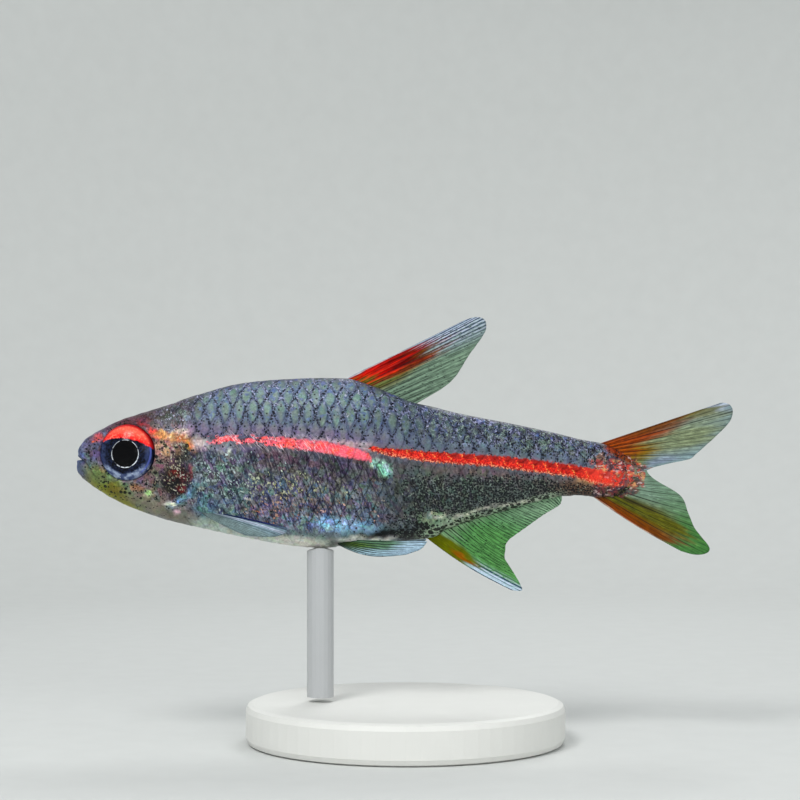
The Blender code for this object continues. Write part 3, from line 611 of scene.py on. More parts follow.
def zone_colours(flesh):
    """Colour of the flesh at each point: broad bands, soft patches, the skin over the fins, and painted light
    on the down-facing belly.
    """
    s, h, arc, rear = flesh.s, flesh.h, flesh.arc, flesh.rear
    from_ridge = arc - flank.limits(s)[0]
    anal_line = bell(flesh.gap, 0.055) * band(flesh.share, 0.0, 0.1, 0.9, 1.0) * smooth(s, 28.5, 26.0)
    anal_line *= 0.55 + 0.45 * smooth(wobble(s * 3.0, h * 3.0, 15), -0.5, 0.3)
    bands = (
        (0.9 * smooth(-arc, 1.2, 3.6), LOW_FLANK),
        (smooth(-arc, 0.3, 1.2) * rear, OLIVE_DARK),
        (smooth(-h, 3.2, 4.0) * (1 - rear), BELLY_GREEN),
        (smooth(arc, 0.15, 0.5), MAUVE),
        (smooth(arc, 0.15, 0.5) * smooth(s, 15.0, 21.0), MAUVE_DARK),
        (smooth(arc, 0.7, 1.5), SLATE_BLUE),
        (smooth(arc, 0.7, 1.5) * rear, SLATE_DARK),
        (0.45 * bell(arc - 1.5, 0.8), (92, 108, 116)),
        (smooth(from_ridge, -1.5, -0.4), BACK_VIOLET),
        (0.8 * smooth(from_ridge, -0.5, -0.1), RIDGE_DARK),
        (0.6 * smooth(s, 26.0, 31.0) * smooth(-arc, 0.3, 0.9), WARM_BROWN),
    )
    over = (
        # Painted light: the belly's edge behind the head lightened against the shade of its down-facing skin
        (0.75 * band(s, 6.5, 8.0, 11.0, 13.0) * flesh.keel, (206, 220, 208)),
        # Pale skin over the anal fin, lightened further as painted light against the shade of its down-facing
        # skin
        (0.85 * flesh.over_fin, (166, 190, 160)),
        (anal_line, (226, 226, 206)),
        (smooth(s, 32.7, 33.2), (118, 124, 104)),
        (flesh.over_rays, (122, 50, 14)),
        (0.8 * flesh.under_rays, (92, 90, 44)),
    )
    colour = np.tile(linear(VIOLET_GREY), (len(s), 1))
    for mask, tint in bands:
        blend_in(colour, mask, tint)
    for *patch, tint, strength in FLESH_PATCHES:
        blend_in(colour, spot(s + flesh.warp_s, h + flesh.warp_h, patch) * strength, tint)
    for mask, tint in over:
        blend_in(colour, mask, tint)
    return colour


def fleck_colours(flesh):
    """Colour of the bright flecks at each point."""
    s, h, arc = flesh.s, flesh.h, flesh.arc
    colour = np.tile(linear((176, 210, 206)), (len(s), 1))
    for mask, tint in (
        (smooth(s, 9.5, 11.5) * smooth(-h, -0.2, 0.6), (206, 212, 112)),
        (smooth(-h, 1.3, 2.4) * smooth(s, 9.0, 11.0), (238, 146, 96)),
        (smooth(s, 16.5, 20.0), (150, 172, 150)),
        ((1 - flesh.body) * smooth(s, 3.5, 5.0), (222, 212, 168)),
        (smooth(arc, 0.3, 0.8), (190, 190, 226)),
        (smooth(s, 28.5, 30.5), (232, 170, 110)),
    ):
        blend_in(colour, mask, tint)
    return colour


def flesh_marks(points, arc, side):
    """Colours and pattern weights of skin and scales at points in the fish's frame."""
    flesh = flesh_regions(points, arc, side)
    s, h, rear, body = flesh.s, flesh.h, flesh.rear, flesh.body
    head = 1 - body
    not_rays = 1 - flesh.over_rays
    cheek = smooth(s, 3.6, 4.6) * head * band(h, -2.2, -1.2, 1.8, 2.6)
    gill = smooth(np.hypot((s - 6.3) / 1.1, (h + 0.2) / 1.9), 1.1, 0.8)
    above = smooth(h, -4.6, -3.9)
    belly = smooth(flesh.rise, 0.7, 1.4)
    chain_end = 0.04 + 0.26 * smooth(s, 10.0, 15.0)
    pigment = smooth(arc, chain_end, chain_end + 0.15) * body * not_rays
    dotted = 1.2 - 0.5 * smooth(s, 21.0, 27.0)
    low_net = smooth(-arc, dotted - 0.25, dotted + 0.35) * smooth(s + 0.5 * smooth(-h, 2.0, 3.2), 18.2, 21.2)

    streaks = smooth(-arc, 0.1, 0.7) * body * smooth(h, -4.4, -3.4) * (1 - 0.6 * rear)
    streaks *= clear_of(s, h, (15.9, -3.4, 2.0, 0.5, -7, 0.5, 0.5), (8.6, -3.5, 2.2, 0.7, -14, 0.4, 0.8))

    specks = (0.08 + 0.1 * head * smooth(h, -3.0, -1.5) + 0.1 * cheek + 0.88 * low_net) * above
    specks *= 1 - flesh.keel * smooth(s, 14.0, 12.0) * body
    specks += 0.3 * smooth(s, 30.5, 32.5)
    specks += 0.4 * smooth(arc, 0.4, 0.8) * smooth(s, 21.0, 26.0) * not_rays
    specks *= (1 - 0.7 * flesh.over_fin) * smooth(flesh.gap, 0.04, 0.1)
    specks *= clear_of(s, h, (18.1, 0.15, 0.8, 0.6, -20, 0.3, 1.0), (21.4, -3.1, 1.0, 0.42, -4, 0.4, 0.9),
                       (6.2, 1.8, 1.5, 0.4, -6, 0.4, 1.0))

    flecks = (0.25 * smooth(-arc, 0.3, 0.6) + 0.75 * smooth(-arc, 0.9, 2.2)) * body * (1 - 0.8 * rear) * belly
    flecks *= (0.4 + 0.6 * smooth(s, 15.0, 11.0)) * clear_of(s, h, (8.0, -2.3, 1.0, 0.8, 0, 0.5, 0.8))
    flecks += 0.22 * head * smooth(h, -2.0, -0.8) * smooth(s, 2.2, 3.6) + 0.2 * cheek + 0.36 * gill
    flecks += 0.3 * head * smooth(h, 1.9, 2.4) * smooth(s, 4.6, 5.4)
    flecks = np.maximum(flecks, 0.16 * smooth(arc, 0.8, 1.6))

    winding = smooth(arc, 0.5, 1.1) * body * (0.25 * smooth(arc, 1.6, 2.6) + 0.75 * smooth(s, 17.5, 23.0))
    winding += 0.5 * head * smooth(h, 2.2, 3.0) * smooth(s, 4.4, 5.4)
    outline = smooth(-arc, 0.5, 0.9) * band(s, 12.0, 14.0, 17.5, 19.5) * belly
    outline += 0.5 * smooth(-arc, 0.15, 0.4) * smooth(s, 18.5, 20.0) * (1 - low_net) * above
    grain = 0.35 + 0.6 * smooth(-arc, 0.2, 1.0) * body * (1 - 0.6 * rear) + 0.55 * head
    grain += 0.35 * smooth(arc, 0.6, 1.2) * smooth(s, 20.0, 28.0)
    grain *= 0.3 + 0.7 * belly
    pores = cheek + band(s, 1.2, 2.0, 3.6, 4.6) * band(h, -2.2, -1.5, -1.2, -0.7)
    pores *= clear_of(s, h, (5.9, 1.85, 1.4, 0.35, -6, 0.4, 1.0))
    pores += 1.9 * flesh.over_fin * smooth(flesh.rise, 0.55, 0.38)
    pores += 1.5 * spot(s, h, (20.3, -3.7, 1.3, 0.5, 10, 0.4))
    tail_end = smooth(s - 0.9 * smooth(h, 0.5, 1.1), 30.1, 31.3) * not_rays * (1 - 0.7 * flesh.under_rays)
    return {
        "zone": zone_colours(flesh),
        "fleck_colour": fleck_colours(flesh),
        "net": np.stack((flesh.column, arc / row_pitch(s), arc), 1),
        "weights": np.stack((streaks, specks, flecks), 1),
        "coat": np.stack((pigment, grain, pores), 1),
        "detail": np.stack((winding * not_rays, outline, tail_end), 1),
        "stripe": np.stack((stripe_depth(s, h, FRONT_STRIPE), stripe_depth(s, h, REAR_STRIPE), s), 1),
    }


# Meshes


def make_object(name, points, faces, material):
    """Mesh object from points in metres."""
    mesh = bpy.data.meshes.new(name)
    mesh.from_pydata(points, [], faces)
    mesh.shade_smooth()
    mesh.materials.append(material)
    made = bpy.data.objects.new(name, mesh)
    bpy.context.scene.collection.objects.link(made)
    return made


def make_piece(name, points, faces, marks, material, uvs):
    """Piece from points in the fish's frame, with one value of each mark a point."""
    piece = make_object(name, ((points + FISH_ORIGIN) * MM).tolist(), faces, material)
    for key, values in marks.items():
        if key in ("zone", "fleck_colour"):
            layer = piece.data.color_attributes.new(key, "FLOAT_COLOR", "POINT")
            layer.data.foreach_set("color", np.c_[values, np.ones(len(values))].ravel())
        else:
            layer = piece.data.attributes.new(key, "FLOAT_VECTOR", "POINT")
            layer.data.foreach_set("vector", np.asarray(values, float).ravel())
    layer = piece.data.uv_layers.new(name="OFBake")
    layer.data.foreach_set("uv", np.asarray(uvs, float).ravel())
    return piece


def finish_piece(piece, slot, *nodes):
    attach(piece, "root")
    if nodes:
        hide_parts(*nodes)


def ring_quads(rings, sides):
    """Cells between closed rings of points, with the ring and side numbers of their corners."""
    i, j = np.meshgrid(np.arange(rings - 1), np.arange(sides), indexing="ij")
    row = np.stack((i, i + 1, i + 1, i), -1).reshape(-1, 4)
    column = np.stack((j, j, j + 1, j + 1), -1).reshape(-1, 4)
    return row * sides + column % sides, row, column


def fan(tip, first, sides):
    """Triangles from a tip to a closed ring of points."""
    ring = first + np.arange(sides)
    return np.stack((np.full(sides, tip), ring, np.roll(ring, -1)), -1)


def sheet_faces(rows, columns):
    """Closed thin sheet: a grid of points, the same again behind it, and the rim between them."""
    count = rows * columns
    grid = np.arange(count).reshape(rows, columns)
    quads = np.stack((grid[:-1, :-1], grid[1:, :-1], grid[1:, 1:], grid[:-1, 1:]), -1).reshape(-1, 4)
    around = np.concatenate((grid[:, 0], grid[-1, 1:], grid[-2::-1, -1], grid[0, -2:0:-1]))
    after = np.roll(around, -1)
    rim = np.stack((after, around, around + count, after + count), -1)
    return np.vstack((quads, quads[:, ::-1] + count, rim))


def make_skin(material):
    """One closed skin over head, jaws, trunk and tail."""
    head = HEAD_LENGTH * (np.arange(1, HEAD_RINGS + 1) / HEAD_RINGS) ** 1.6
    trunk = np.linspace(HEAD_LENGTH, BODY_END, TRUNK_RINGS + 1)[1:]
    places = np.concatenate((head, trunk))
    turns = np.arange(SKIN_SIDES) * 2 * math.pi / SKIN_SIDES
    s, angle = (grid.ravel() for grid in np.meshgrid(places, turns, indexing="ij"))
    body = surface(s, angle)
    points = body.copy()
    points[:, 1] *= 1 - 0.66 * smooth(s, 31.6, 33.3)
    relief = head_relief(s, body[:, 2]) * smooth(s, 8.5, 7.9)
    points += surface_normal(s, angle) * relief[:, None]
    points[:, 0] -= snout_push(s, body[:, 2])
    right = angle < math.pi
    arc = flank.arc(s, np.where(right, angle, 2 * math.pi - angle))
    tips = (SNOUT_TIP, STALK_TIP)
    side = np.append(np.where(right, 1.0, -1.0), (1.0, 1.0))
    marks = flesh_marks(np.vstack((body, tips)), np.append(arc, (-1.7, 0.0)), side)

    count = len(points)
    quads, row, column = ring_quads(len(places), SKIN_SIDES)
    front = fan(count, 0, SKIN_SIDES)
    back = fan(count + 1, count - SKIN_SIDES, SKIN_SIDES)[:, ::-1]
    v = np.arange(SKIN_SIDES)[:, None] / SKIN_SIDES
    u = np.zeros_like(v)
    first = places[0] / BODY_END
    front_uv = np.hstack((u, v, u + first, v, u + first, v + 1 / SKIN_SIDES))
    back_uv = np.hstack((u + 0.996, v + 1 / SKIN_SIDES, u + 0.996, v, u + 1, v))
    uvs = np.stack((places[row] / BODY_END, column / SKIN_SIDES), -1)
    uvs = np.concatenate((uvs.ravel(), front_uv.ravel(), back_uv.ravel()))
    faces = quads.tolist() + front.tolist() + back.tolist()
    skin = make_piece("skin", np.vstack((points, tips)), faces, marks, material, uvs)
    finish_piece(skin, "skin", "head", "lower_jaw", "trunk", "tail")


def scale_sites():
    """Root column, row and the share of its half height that each scale keeps to either side."""
    edge = curve(HEAD_EDGE, np.linspace(0, 1, 60))
    sites = []
    for row in SCALE_ROWS:
        for column in SCALE_COLUMNS:
            c = column + 0.5 * (row % 2)
            s = SCALE_START + c * SCALE_PITCH
            tip = s + SCALE_PITCH
            if not FIRST_SCALE_TIP < tip < BODY_END - EDGE_CLEARANCE:
                continue
            pitch = float(row_pitch(s))
            arc = row * pitch
            top, bottom = flank.limits(tip - 0.3)
            high = min(SCALE_REACH, (top - arc) / pitch - SCALE_GAP)
            low = min(SCALE_REACH, (bottom + arc) / pitch - SCALE_GAP)
            if min(high, low) < LEAST_REACH:
                continue
            height = surface(np.array(s), flank.angle(np.array(s), np.array(arc)))[2]
            border = np.interp(-height, -edge[:, 1], edge[:, 0])
            if tip < border + EDGE_CLEARANCE:
                continue
            root = max(SCALE_ROOT, (border + 0.03 - s) / SCALE_PITCH)
            sites.append((c, row, low, high, root))
    return np.array(sites)


def make_scales(name, side, material):
    """Overlapping scales of one side, thin closed vanes that rise towards their rear edges."""
    sites = scale_sites()
    n = len(sites)
    shares = np.linspace(0, 1, SCALE_CELLS + 1)
    p, w = np.meshgrid(shares, shares, indexing="ij")
    c0, row, low, high, root = (sites[:, k, None, None] for k in range(5))
    q = (-low + (low + high) * w) * (0.55 + 0.45 * smooth(p, 0.0, 0.45))
    rear = 1 - SCALE_BULGE * q**2
    s = SCALE_START + (c0 + root + (rear - root) * p) * SCALE_PITCH
    s = np.clip(s, FIRST_SCALE_TIP, BODY_END - SCALE_GAP)
    top, bottom = flank.limits(s)
    arc = np.clip((row + q) * row_pitch(s), -bottom + 0.01, top - 0.01)
    jitter = np.random.default_rng(7 if side > 0 else 8).uniform(0.75, 1.2, (n, 1, 1))
    lift = (SCALE_LIFT * jitter - 0.016 * q**2) * p * np.where(row > 0, 1, 0.7)
    lift = SCALE_BASE + lift * smooth(top - arc, 0.0, 0.5)
    s, arc, lift, top, bottom = (x.ravel() for x in (s, arc, lift, top, bottom))
    angle = flank.angle(s, arc) * side
    base = surface(s, angle)
    normal = surface_normal(s, angle)

    def in_pairs(front, back):
        """Values of each scale's front, then of its back."""
        pair = (values.reshape(n, p.size, -1) for values in (front, back))
        return np.concatenate(tuple(pair), 1).reshape(2 * n * p.size, -1)

    points = in_pairs(base + normal * lift[:, None], base + normal * (lift - SCALE_THICKNESS)[:, None])
    marks = flesh_marks(base, arc, np.full(len(s), side))
    marks = {key: in_pairs(values, values) for key, values in marks.items()}
    uv = np.stack((s / BODY_END, (arc + bottom) / (top + bottom)), 1)
    faces = sheet_faces(SCALE_CELLS + 1, SCALE_CELLS + 1)
    if side > 0:
        faces = faces[:, ::-1]
    faces = (faces[None] + (np.arange(n) * 2 * p.size)[:, None, None]).reshape(-1, 4)
    scales = make_piece(name, points, faces.tolist(), marks, material, in_pairs(uv, uv)[faces.ravel()])
    finish_piece(scales, "skin")


# Materials


class Wire:
    """Value in a material's node tree that adds, subtracts and multiplies like a number."""

    def __init__(self, graph, socket):
        self.graph = graph
        self.socket = socket

    def math(self, operation, other=0.0):
        return self.graph.node("ShaderNodeMath", {0: self, 1: other}, operation=operation)

    def __add__(self, other):
        return self.math("ADD", other)

    def __sub__(self, other):
        return self.math("SUBTRACT", other)

    def __rsub__(self, other):
        return self.graph.node("ShaderNodeMath", {0: other, 1: self}, operation="SUBTRACT")

    def __mul__(self, other):
        return self.math("MULTIPLY", other)

    def __abs__(self):
        return self.math("ABSOLUTE")

    __radd__ = __add__
    __rmul__ = __mul__

    def fract(self):
        return self.math("FRACT")

    def step(self, start, end):
        """0 to 1 as the value goes smoothly from start to end."""
        inputs = {"Value": self, "From Min": start, "From Max": end}
        return self.graph.node("ShaderNodeMapRange", inputs, interpolation_type="SMOOTHSTEP")

    def ramp(self, start, end, first, last):
        """first to last, straight, as the value goes from start to end."""
        inputs = {"Value": self, "From Min": start, "From Max": end, "To Min": first, "To Max": last}
        return self.graph.node("ShaderNodeMapRange", inputs)

    def near(self, value, outer, inner):
        """0 to 1 as the distance to a value shrinks from outer to inner."""
        return abs(self - value).step(outer, inner)

    def lit(self, factor):
        """This colour times a factor."""
        return self.graph.node("ShaderNodeVectorMath", {0: self, "Scale": factor}, operation="SCALE")

    def scaled(self, x, y, z):
        return self.graph.node("ShaderNodeVectorMath", {0: self, 1: (x, y, z)}, operation="MULTIPLY")

    def parts(self):
        split = self.graph.make("ShaderNodeSeparateXYZ", {0: self})
        return [Wire(self.graph, output) for output in split.outputs]


class Graph:
    """One material's node tree, and the colour painted in it so far."""

    def __init__(self, name, roughness, specular=0.5):
        self.material = bpy.data.materials.new(name)
        self.material.use_nodes = True
        self.tree = self.material.node_tree
        self.shader = self.tree.nodes["Principled BSDF"]
        self.shader.inputs["Roughness"].default_value = roughness
        self.shader.inputs["Specular IOR Level"].default_value = specular
        self.base = None

    def feed(self, socket, value):
        if isinstance(value, Wire):
            self.tree.links.new(value.socket, socket)
        else:
            socket.default_value = value

    def make(self, kind, inputs, **settings):
        made = self.tree.nodes.new(kind)
        for key, value in settings.items():
            setattr(made, key, value)
        for key, value in inputs.items():
            self.feed(made.inputs[key], value)
        return made

    def node(self, kind, inputs, output=0, **settings):
        return Wire(self, self.make(kind, inputs, **settings).outputs[output])

    def mix(self, factor, a, b, blend="MIX"):
        a, b = ((*linear(x), 1.0) if isinstance(x, tuple) else x for x in (a, b))
        return self.node("ShaderNodeMix", {0: factor, 6: a, 7: b}, 2, data_type="RGBA", blend_type=blend)

    def paint(self, mask, colour):
        """Lays a colour over the base where the mask is 1."""
        self.base = self.mix(mask, self.base, colour)

    def tinted(self, tint):
        return self.mix(1.0, self.base, tint, "MULTIPLY")

    def attribute(self, name, output="Vector"):
        return self.node("ShaderNodeAttribute", {}, output, attribute_name=name)

    def vector(self, x, y, z=0.0):
        return self.node("ShaderNodeCombineXYZ", {0: x, 1: y, 2: z})

    def place(self):
        """Position on the object in millimetres."""
        return self.node("ShaderNodeTexCoord", {}, "Object").scaled(1000, 1000, 1000)

    def noise(self, vector, scale, detail=2.0, distortion=0.0):
        inputs = {"Vector": vector, "Scale": scale, "Detail": detail, "Distortion": distortion}
        return self.node("ShaderNodeTexNoise", inputs, "Fac")

    def cells(self, vector, scale):
        """Distance to the nearest random point of a plane, and its cell's random colour."""
        made = self.make("ShaderNodeTexVoronoi", {"Vector": vector, "Scale": scale}, voronoi_dimensions="2D")
        return Wire(self, made.outputs["Distance"]), Wire(self, made.outputs["Color"])

    def bump(self, height, distance, strength):
        inputs = {"Height": height, "Distance": distance, "Strength": strength}
        self.feed(self.shader.inputs["Normal"], self.node("ShaderNodeBump", inputs))

    def finished(self):
        self.feed(self.shader.inputs["Base Color"], self.base)
        return self.material


def scale_net(c, r):
    """How far a point is from the pale middle of its scale, and a thin line on the rear edge."""
    row = r.math("ROUND")
    q = abs(r - row)
    odd = row.math("PINGPONG", 1.0)
    nets = []
    for reach, shift in ((q, odd * 0.5), (1.0 - q, 0.5 - odd * 0.5)):
        ahead = c - shift
        across = abs((ahead - 0.08).fract() - 0.5)
        tall = reach * (1 / 0.74)
        phase = (ahead - (1.0 - reach * reach * SCALE_BULGE)).fract()
        nets.append((across * (1 / 0.4) + tall * tall, phase.step(0.9, 0.97) * reach.step(0.97, 0.9)))
    (outside, line), (other_outside, other_line) = nets
    return outside.math("MINIMUM", other_outside), line.math("MAXIMUM", other_line)


# Height of the stalk's middle over the floor
STALK_HEIGHT = 16.0


def mottle(g, place):
    """Fine winding strokes of the tail base: gold, red and mauve between dark lines, with painted lilac
    glints.
    """
    hue = g.noise(place.scaled(-0.8, 1.0, 1.2), 1.9, 2.0, 0.5)
    veins = g.noise(place.scaled(0.6, 1.0, 1.0), 3.6, 2.0, 1.0)
    edge = abs(place.parts()[2] - STALK_HEIGHT).step(0.6, 0.95)
    lights = g.noise(place.scaled(0.7, -1.0, 1.4), 5.4, 1.0)
    tone = g.mix(hue.step(0.44, 0.5), (214, 148, 96), (208, 62, 44))
    tone = g.mix(hue.step(0.55, 0.6), tone, (112, 72, 78))
    tone = g.mix(veins.step(0.5, 0.6) * 0.4, tone, (92, 62, 66))
    tone = g.mix(veins.near(0.5, 0.055, 0.02) * 0.85, tone, (34, 28, 36))
    tone = g.mix(edge * 0.75, tone, (44, 40, 54))
    # Painted lilac glints
    return g.mix(lights.step(0.6, 0.66) * 0.8, tone, (206, 178, 176))


def skin_values(g):
    """What the parts of the skin's pattern share: the mesh's marks, and soft to fine noise."""
    skin = SimpleNamespace(place=g.place(), zone=g.attribute("zone", "Color"))
    skin.c, skin.r, skin.arc = g.attribute("net").parts()
    skin.streak, skin.speck, skin.fleck = g.attribute("weights").parts()
    skin.pigment, skin.grain, skin.pores = g.attribute("coat").parts()
    skin.front, skin.rear, skin.s = g.attribute("stripe").parts()
    skin.winding, skin.outline, skin.tail_end = g.attribute("detail").parts()
    skin.x, skin.y, skin.z = skin.place.parts()
    skin.flat = g.vector(skin.c * SCALE_PITCH, skin.arc)
    skin.slant = g.vector((skin.x + skin.z * 0.35) * 3.4, skin.y * 1.5, skin.z * 0.85)
    skin.broad = g.noise(skin.place, 1.6, 3.0)
    skin.medium = g.noise(skin.place, 3.8, 2.5, 0.6)
    skin.fine = g.noise(skin.place, 8.0, 1.5)
    return skin


def paint_ground(g, skin):
    """Soft mottling, pale middles of the scales, blue smudges and fine grain."""
    sag = skin.r.step(0.0, 0.9) * skin.r.step(2.0, 1.0) * 0.35
    loose = skin.s.ramp(16.0, 30.0, 0.12, 0.95)
    aside = (g.noise(skin.place, 1.9, 2.0) - 0.5) * loose
    upward = (g.noise(skin.place.scaled(-1.0, 1.0, 1.0), 1.9, 2.0) - 0.5) * loose
    skin.outside, skin.line = scale_net(skin.c + aside, skin.r + sag + upward)
    g.paint(skin.broad.step(0.35, 0.7) * 0.35, g.tinted((160, 160, 172)))
    patch = g.noise(skin.place, 1.1, 2.0)
    middle = (skin.outside + (patch - 0.5) * 1.6).step(0.95, 0.3) * skin.arc.ramp(0.7, 1.4, 0.15, 1.0)
    g.paint(skin.pigment * 0.85, g.mix(middle, g.tinted((186, 198, 226)), g.tinted((226, 244, 212))))
    smudge = g.noise(skin.place, 2.6, 1.0).step(0.58, 0.68) * skin.outside.step(0.9, 0.5)
    g.paint(smudge * skin.pigment * skin.arc.step(1.0, 1.6) * 0.6, (70, 88, 150))
    tint = g.cells(skin.flat, 3.2)[1]
    g.paint(skin.grain * 0.3, g.mix(1.0, g.base, tint, "OVERLAY"))
    light = skin.fine.ramp(0.3, 0.7, 0.42, 1.6) * skin.medium.ramp(0.32, 0.68, 0.66, 1.36)
    g.base = g.base.lit((light - 1.0) * skin.grain + 1.0)


def paint_streaks(g, skin):
    """Slanting streaks of the lower flank, and thin rear edges of scales."""
    strands = g.noise(skin.slant, 1.3, 4.0, 1.2)
    g.paint(strands.step(0.56, 0.38) * skin.streak * 0.9, g.tinted((106, 98, 134)))
    g.paint(strands.step(0.57, 0.72) * skin.streak * 0.35, (150, 148, 160))
    g.paint(skin.line * skin.outline * 0.75, (20, 20, 30))


def paint_chains(g, skin):
    """Chains of pigment dots around the pale middles of the scales, painted lilac highlights beside them, and
    loose specks.
    """
    outside = skin.outside + (g.noise(skin.place, 3.5, 1.0) - 0.5) * 0.9
    around = outside.step(0.68, 0.9) * skin.pigment
    chain = outside.step(0.86, 0.98) * skin.pigment
    near, random = g.cells(skin.flat, 6.9)
    red, green, blue = random.parts()
    g.paint(around * 0.3, (58, 66, 98))
    g.paint(skin.line * skin.pigment * 0.15, (30, 36, 60))
    # Painted lilac-white highlights beside the chains, stronger on the upper rows
    g.paint(skin.fine.step(0.54, 0.62) * around * skin.arc.ramp(1.2, 3.0, 0.1, 0.8), (176, 178, 216))
    salted = blue.step(0.55, 0.62) * near.step(0.36, 0.22)
    g.paint(salted * skin.speck.step(0.3, 0.6) * 0.5, (140, 158, 144))
    dot = (green * 0.15 + 0.36 - near).step(-0.05, 0.05)
    shown = (chain * 0.84 + 0.01 - red).step(0.0, 0.05)
    g.paint(dot * shown * 0.95, (8, 10, 24))
    skin.beads = (0.44 - near).step(-0.05, 0.05) * (red - 0.71).step(0.0, 0.05)
    apart, random = g.cells(skin.flat, 8.6)
    pick, wide, _ = random.parts()
    stray = (skin.speck - pick).step(0.0, 0.05) * (wide * 0.2 + 0.38 - apart).step(-0.05, 0.05)
    g.paint(stray * 0.95, (10, 14, 20))


def paint_strokes(g, skin):
    """Short winding strokes, pale and dark, of the rear and upper scales."""
    away = abs(g.noise(skin.place.scaled(1.0, 1.0, 0.8), 3.9, 1.5, 0.6) - 0.5)
    pale = g.mix(skin.broad.step(0.45, 0.55), (168, 170, 210), (150, 172, 156))
    g.paint(away.step(0.034, 0.012) * skin.winding * skin.medium.step(0.4, 0.5) * 0.75, pale)
    g.paint(away.near(0.06, 0.026, 0.008) * skin.winding * 0.65, (18, 22, 36))


def paint_pores(g, skin):
    """Larger dark pores of the head and over the anal fin."""
    near, random = g.cells(skin.flat, 3.2)
    pick, wide, _ = random.parts()
    widest = wide * 0.3 + 0.1 + skin.pores.step(1.1, 1.4) * 0.14
    pore = (widest - near).step(-0.04, 0.04) * (skin.pores * 0.55 - pick).step(0.0, 0.05)
    g.paint(pore * 0.93, (10, 10, 12))


def paint_tail_end(g, skin):
    """Mottled end of the tail."""
    end = (skin.tail_end + (skin.medium - 0.5) * 1.2).step(0.5, 0.75)
    g.paint(end * g.noise(skin.place, 2.4, 2.0).step(0.36, 0.5) * 0.9, mottle(g, skin.place))


def front_pink(g, skin, grains):
    """Smooth pink of the stripe's front part, with pale grains and dark beads."""
    pink = g.mix(skin.front.step(0.0, 0.25), (214, 84, 104), (246, 66, 80))
    pink = g.mix(skin.medium.step(0.5, 0.62) * 0.7, pink, (255, 92, 56))
    pink = g.mix(skin.broad.step(0.5, 0.6) * 0.6, pink, (250, 104, 132))
    pink = g.mix(grains.step(0.5, 0.65) * skin.s.ramp(10.0, 14.0, 0.8, 0.4), pink, (246, 168, 172))
    beads = skin.beads * skin.front.step(0.34, 0.14) * skin.s.step(15.0, 12.5)
    return g.mix(beads * 0.95, pink, (20, 14, 30))


def rear_glow(g, skin, grains, ragged):
    """Grainy red of the stripe's rear part, darker scale by scale, with orange sparks."""
    glow = g.mix(skin.rear.step(0.0, 0.2), (136, 14, 8), (210, 18, 4))
    glow = g.mix(grains.step(0.5, 0.64) * 0.75, glow, (255, 62, 28))
    glow = g.mix(grains.step(0.46, 0.38) * 0.75, glow, (122, 8, 4))
    part = (skin.c + (skin.arc + skin.medium) * 0.7).fract()
    block = part.step(0.1, 0.25) * part.step(0.95, 0.8) * (skin.arc + ragged * 0.3).step(-0.1, 0.08)
    glow = g.mix(block * skin.s.step(21.0, 22.5) * 0.7, glow, (140, 10, 4))
    glow = g.mix(part.step(0.16, 0.02) * skin.fine.step(0.46, 0.56) * 0.85, glow, (255, 160, 80))
    glow = g.mix(skin.s.step(29.5, 31.0) * 0.6, glow, (244, 64, 46))
    low_edge = skin.rear.step(0.22, 0.02) * grains.step(0.5, 0.58) * skin.arc.step(0.0, -0.15)
    return g.mix(low_edge * 0.8, glow, (246, 180, 140))


def paint_stripe(g, skin):
    """The stripe with its two parts, fine pale hairs, and the bare skin that runs into the fin."""
    ragged = g.noise(skin.place, 6.0, 2.0) - 0.5
    grains = g.noise(skin.place, 11.0, 2.0)
    patchy = g.noise(g.vector(skin.s * 1.3, skin.arc * 2.5), 1.0, 2.0)
    broken = patchy.step(0.54, 0.38) * skin.s.step(14.0, 9.5)
    front_mask = (skin.front - broken * 0.26 + ragged * 0.3).step(-0.06, 0.1)
    g.paint(front_mask * 0.94, front_pink(g, skin, grains))
    ending = skin.s.step(30.8, 32.4) * skin.medium.step(0.42, 0.52) * 0.9
    ending = ending.math("MAXIMUM", (skin.s + ragged * 1.6).step(32.3, 32.8) * 0.75)
    rear_mask = (skin.rear + ragged * 0.4).step(-0.04, 0.07)
    g.paint(rear_mask * (0.97 - ending), rear_glow(g, skin, grains, ragged))
    leaning = g.vector((skin.x + skin.z * 0.8) * 2.2, skin.y, skin.z * 0.7)
    hair = g.noise(leaning, 1.5, 1.0).near(0.5, 0.02, 0.004)
    hair = hair * abs(skin.arc).step(0.7, 0.3) * skin.s.step(8.0, 9.0) * skin.s.step(16.5, 14.5)
    g.paint(hair * 0.65, (236, 212, 220))
    run_out = (skin.s + (g.noise(skin.place, 3.0, 3.0) - 0.5) * 2.6).step(33.05, 33.5)
    g.paint(run_out, skin.zone)


def paint_flecks(g, skin):
    """Bright flecks of guanine, in clumps and of many sizes. Gives how brightly each point gleams."""
    clump = g.noise(skin.place, 1.5, 3.0).step(0.38, 0.62)
    tall = g.vector(skin.c * SCALE_PITCH + skin.arc * 0.2 + (skin.medium - 0.5) * 0.5, skin.arc * 0.6)
    near, random = g.cells(tall, 6.4)
    red, green, blue = random.parts()
    chosen = (skin.fleck * (clump * 0.34 + 0.05) - red).step(0.0, 0.03)
    reach = (green * 0.26 + 0.1) * skin.s.ramp(6.6, 7.8, 0.8, 1.0)
    gleam = (reach - near).step(-0.07, 0.07) * chosen
    g.paint(chosen * 0.4, (26, 26, 40))
    wisps = g.noise(skin.slant.scaled(1.9, 2.0, 4.2), 1.6, 2.0)
    glint = wisps.step(0.57, 0.64) * skin.fleck * (clump * 0.8 + 0.3)
    gleam = (gleam * (blue * 0.6 + 0.4)).math("MAXIMUM", glint * 0.6)
    g.paint(gleam, g.mix(green * 0.55, g.attribute("fleck_colour", "Color"), (200, 204, 214)))
    return gleam


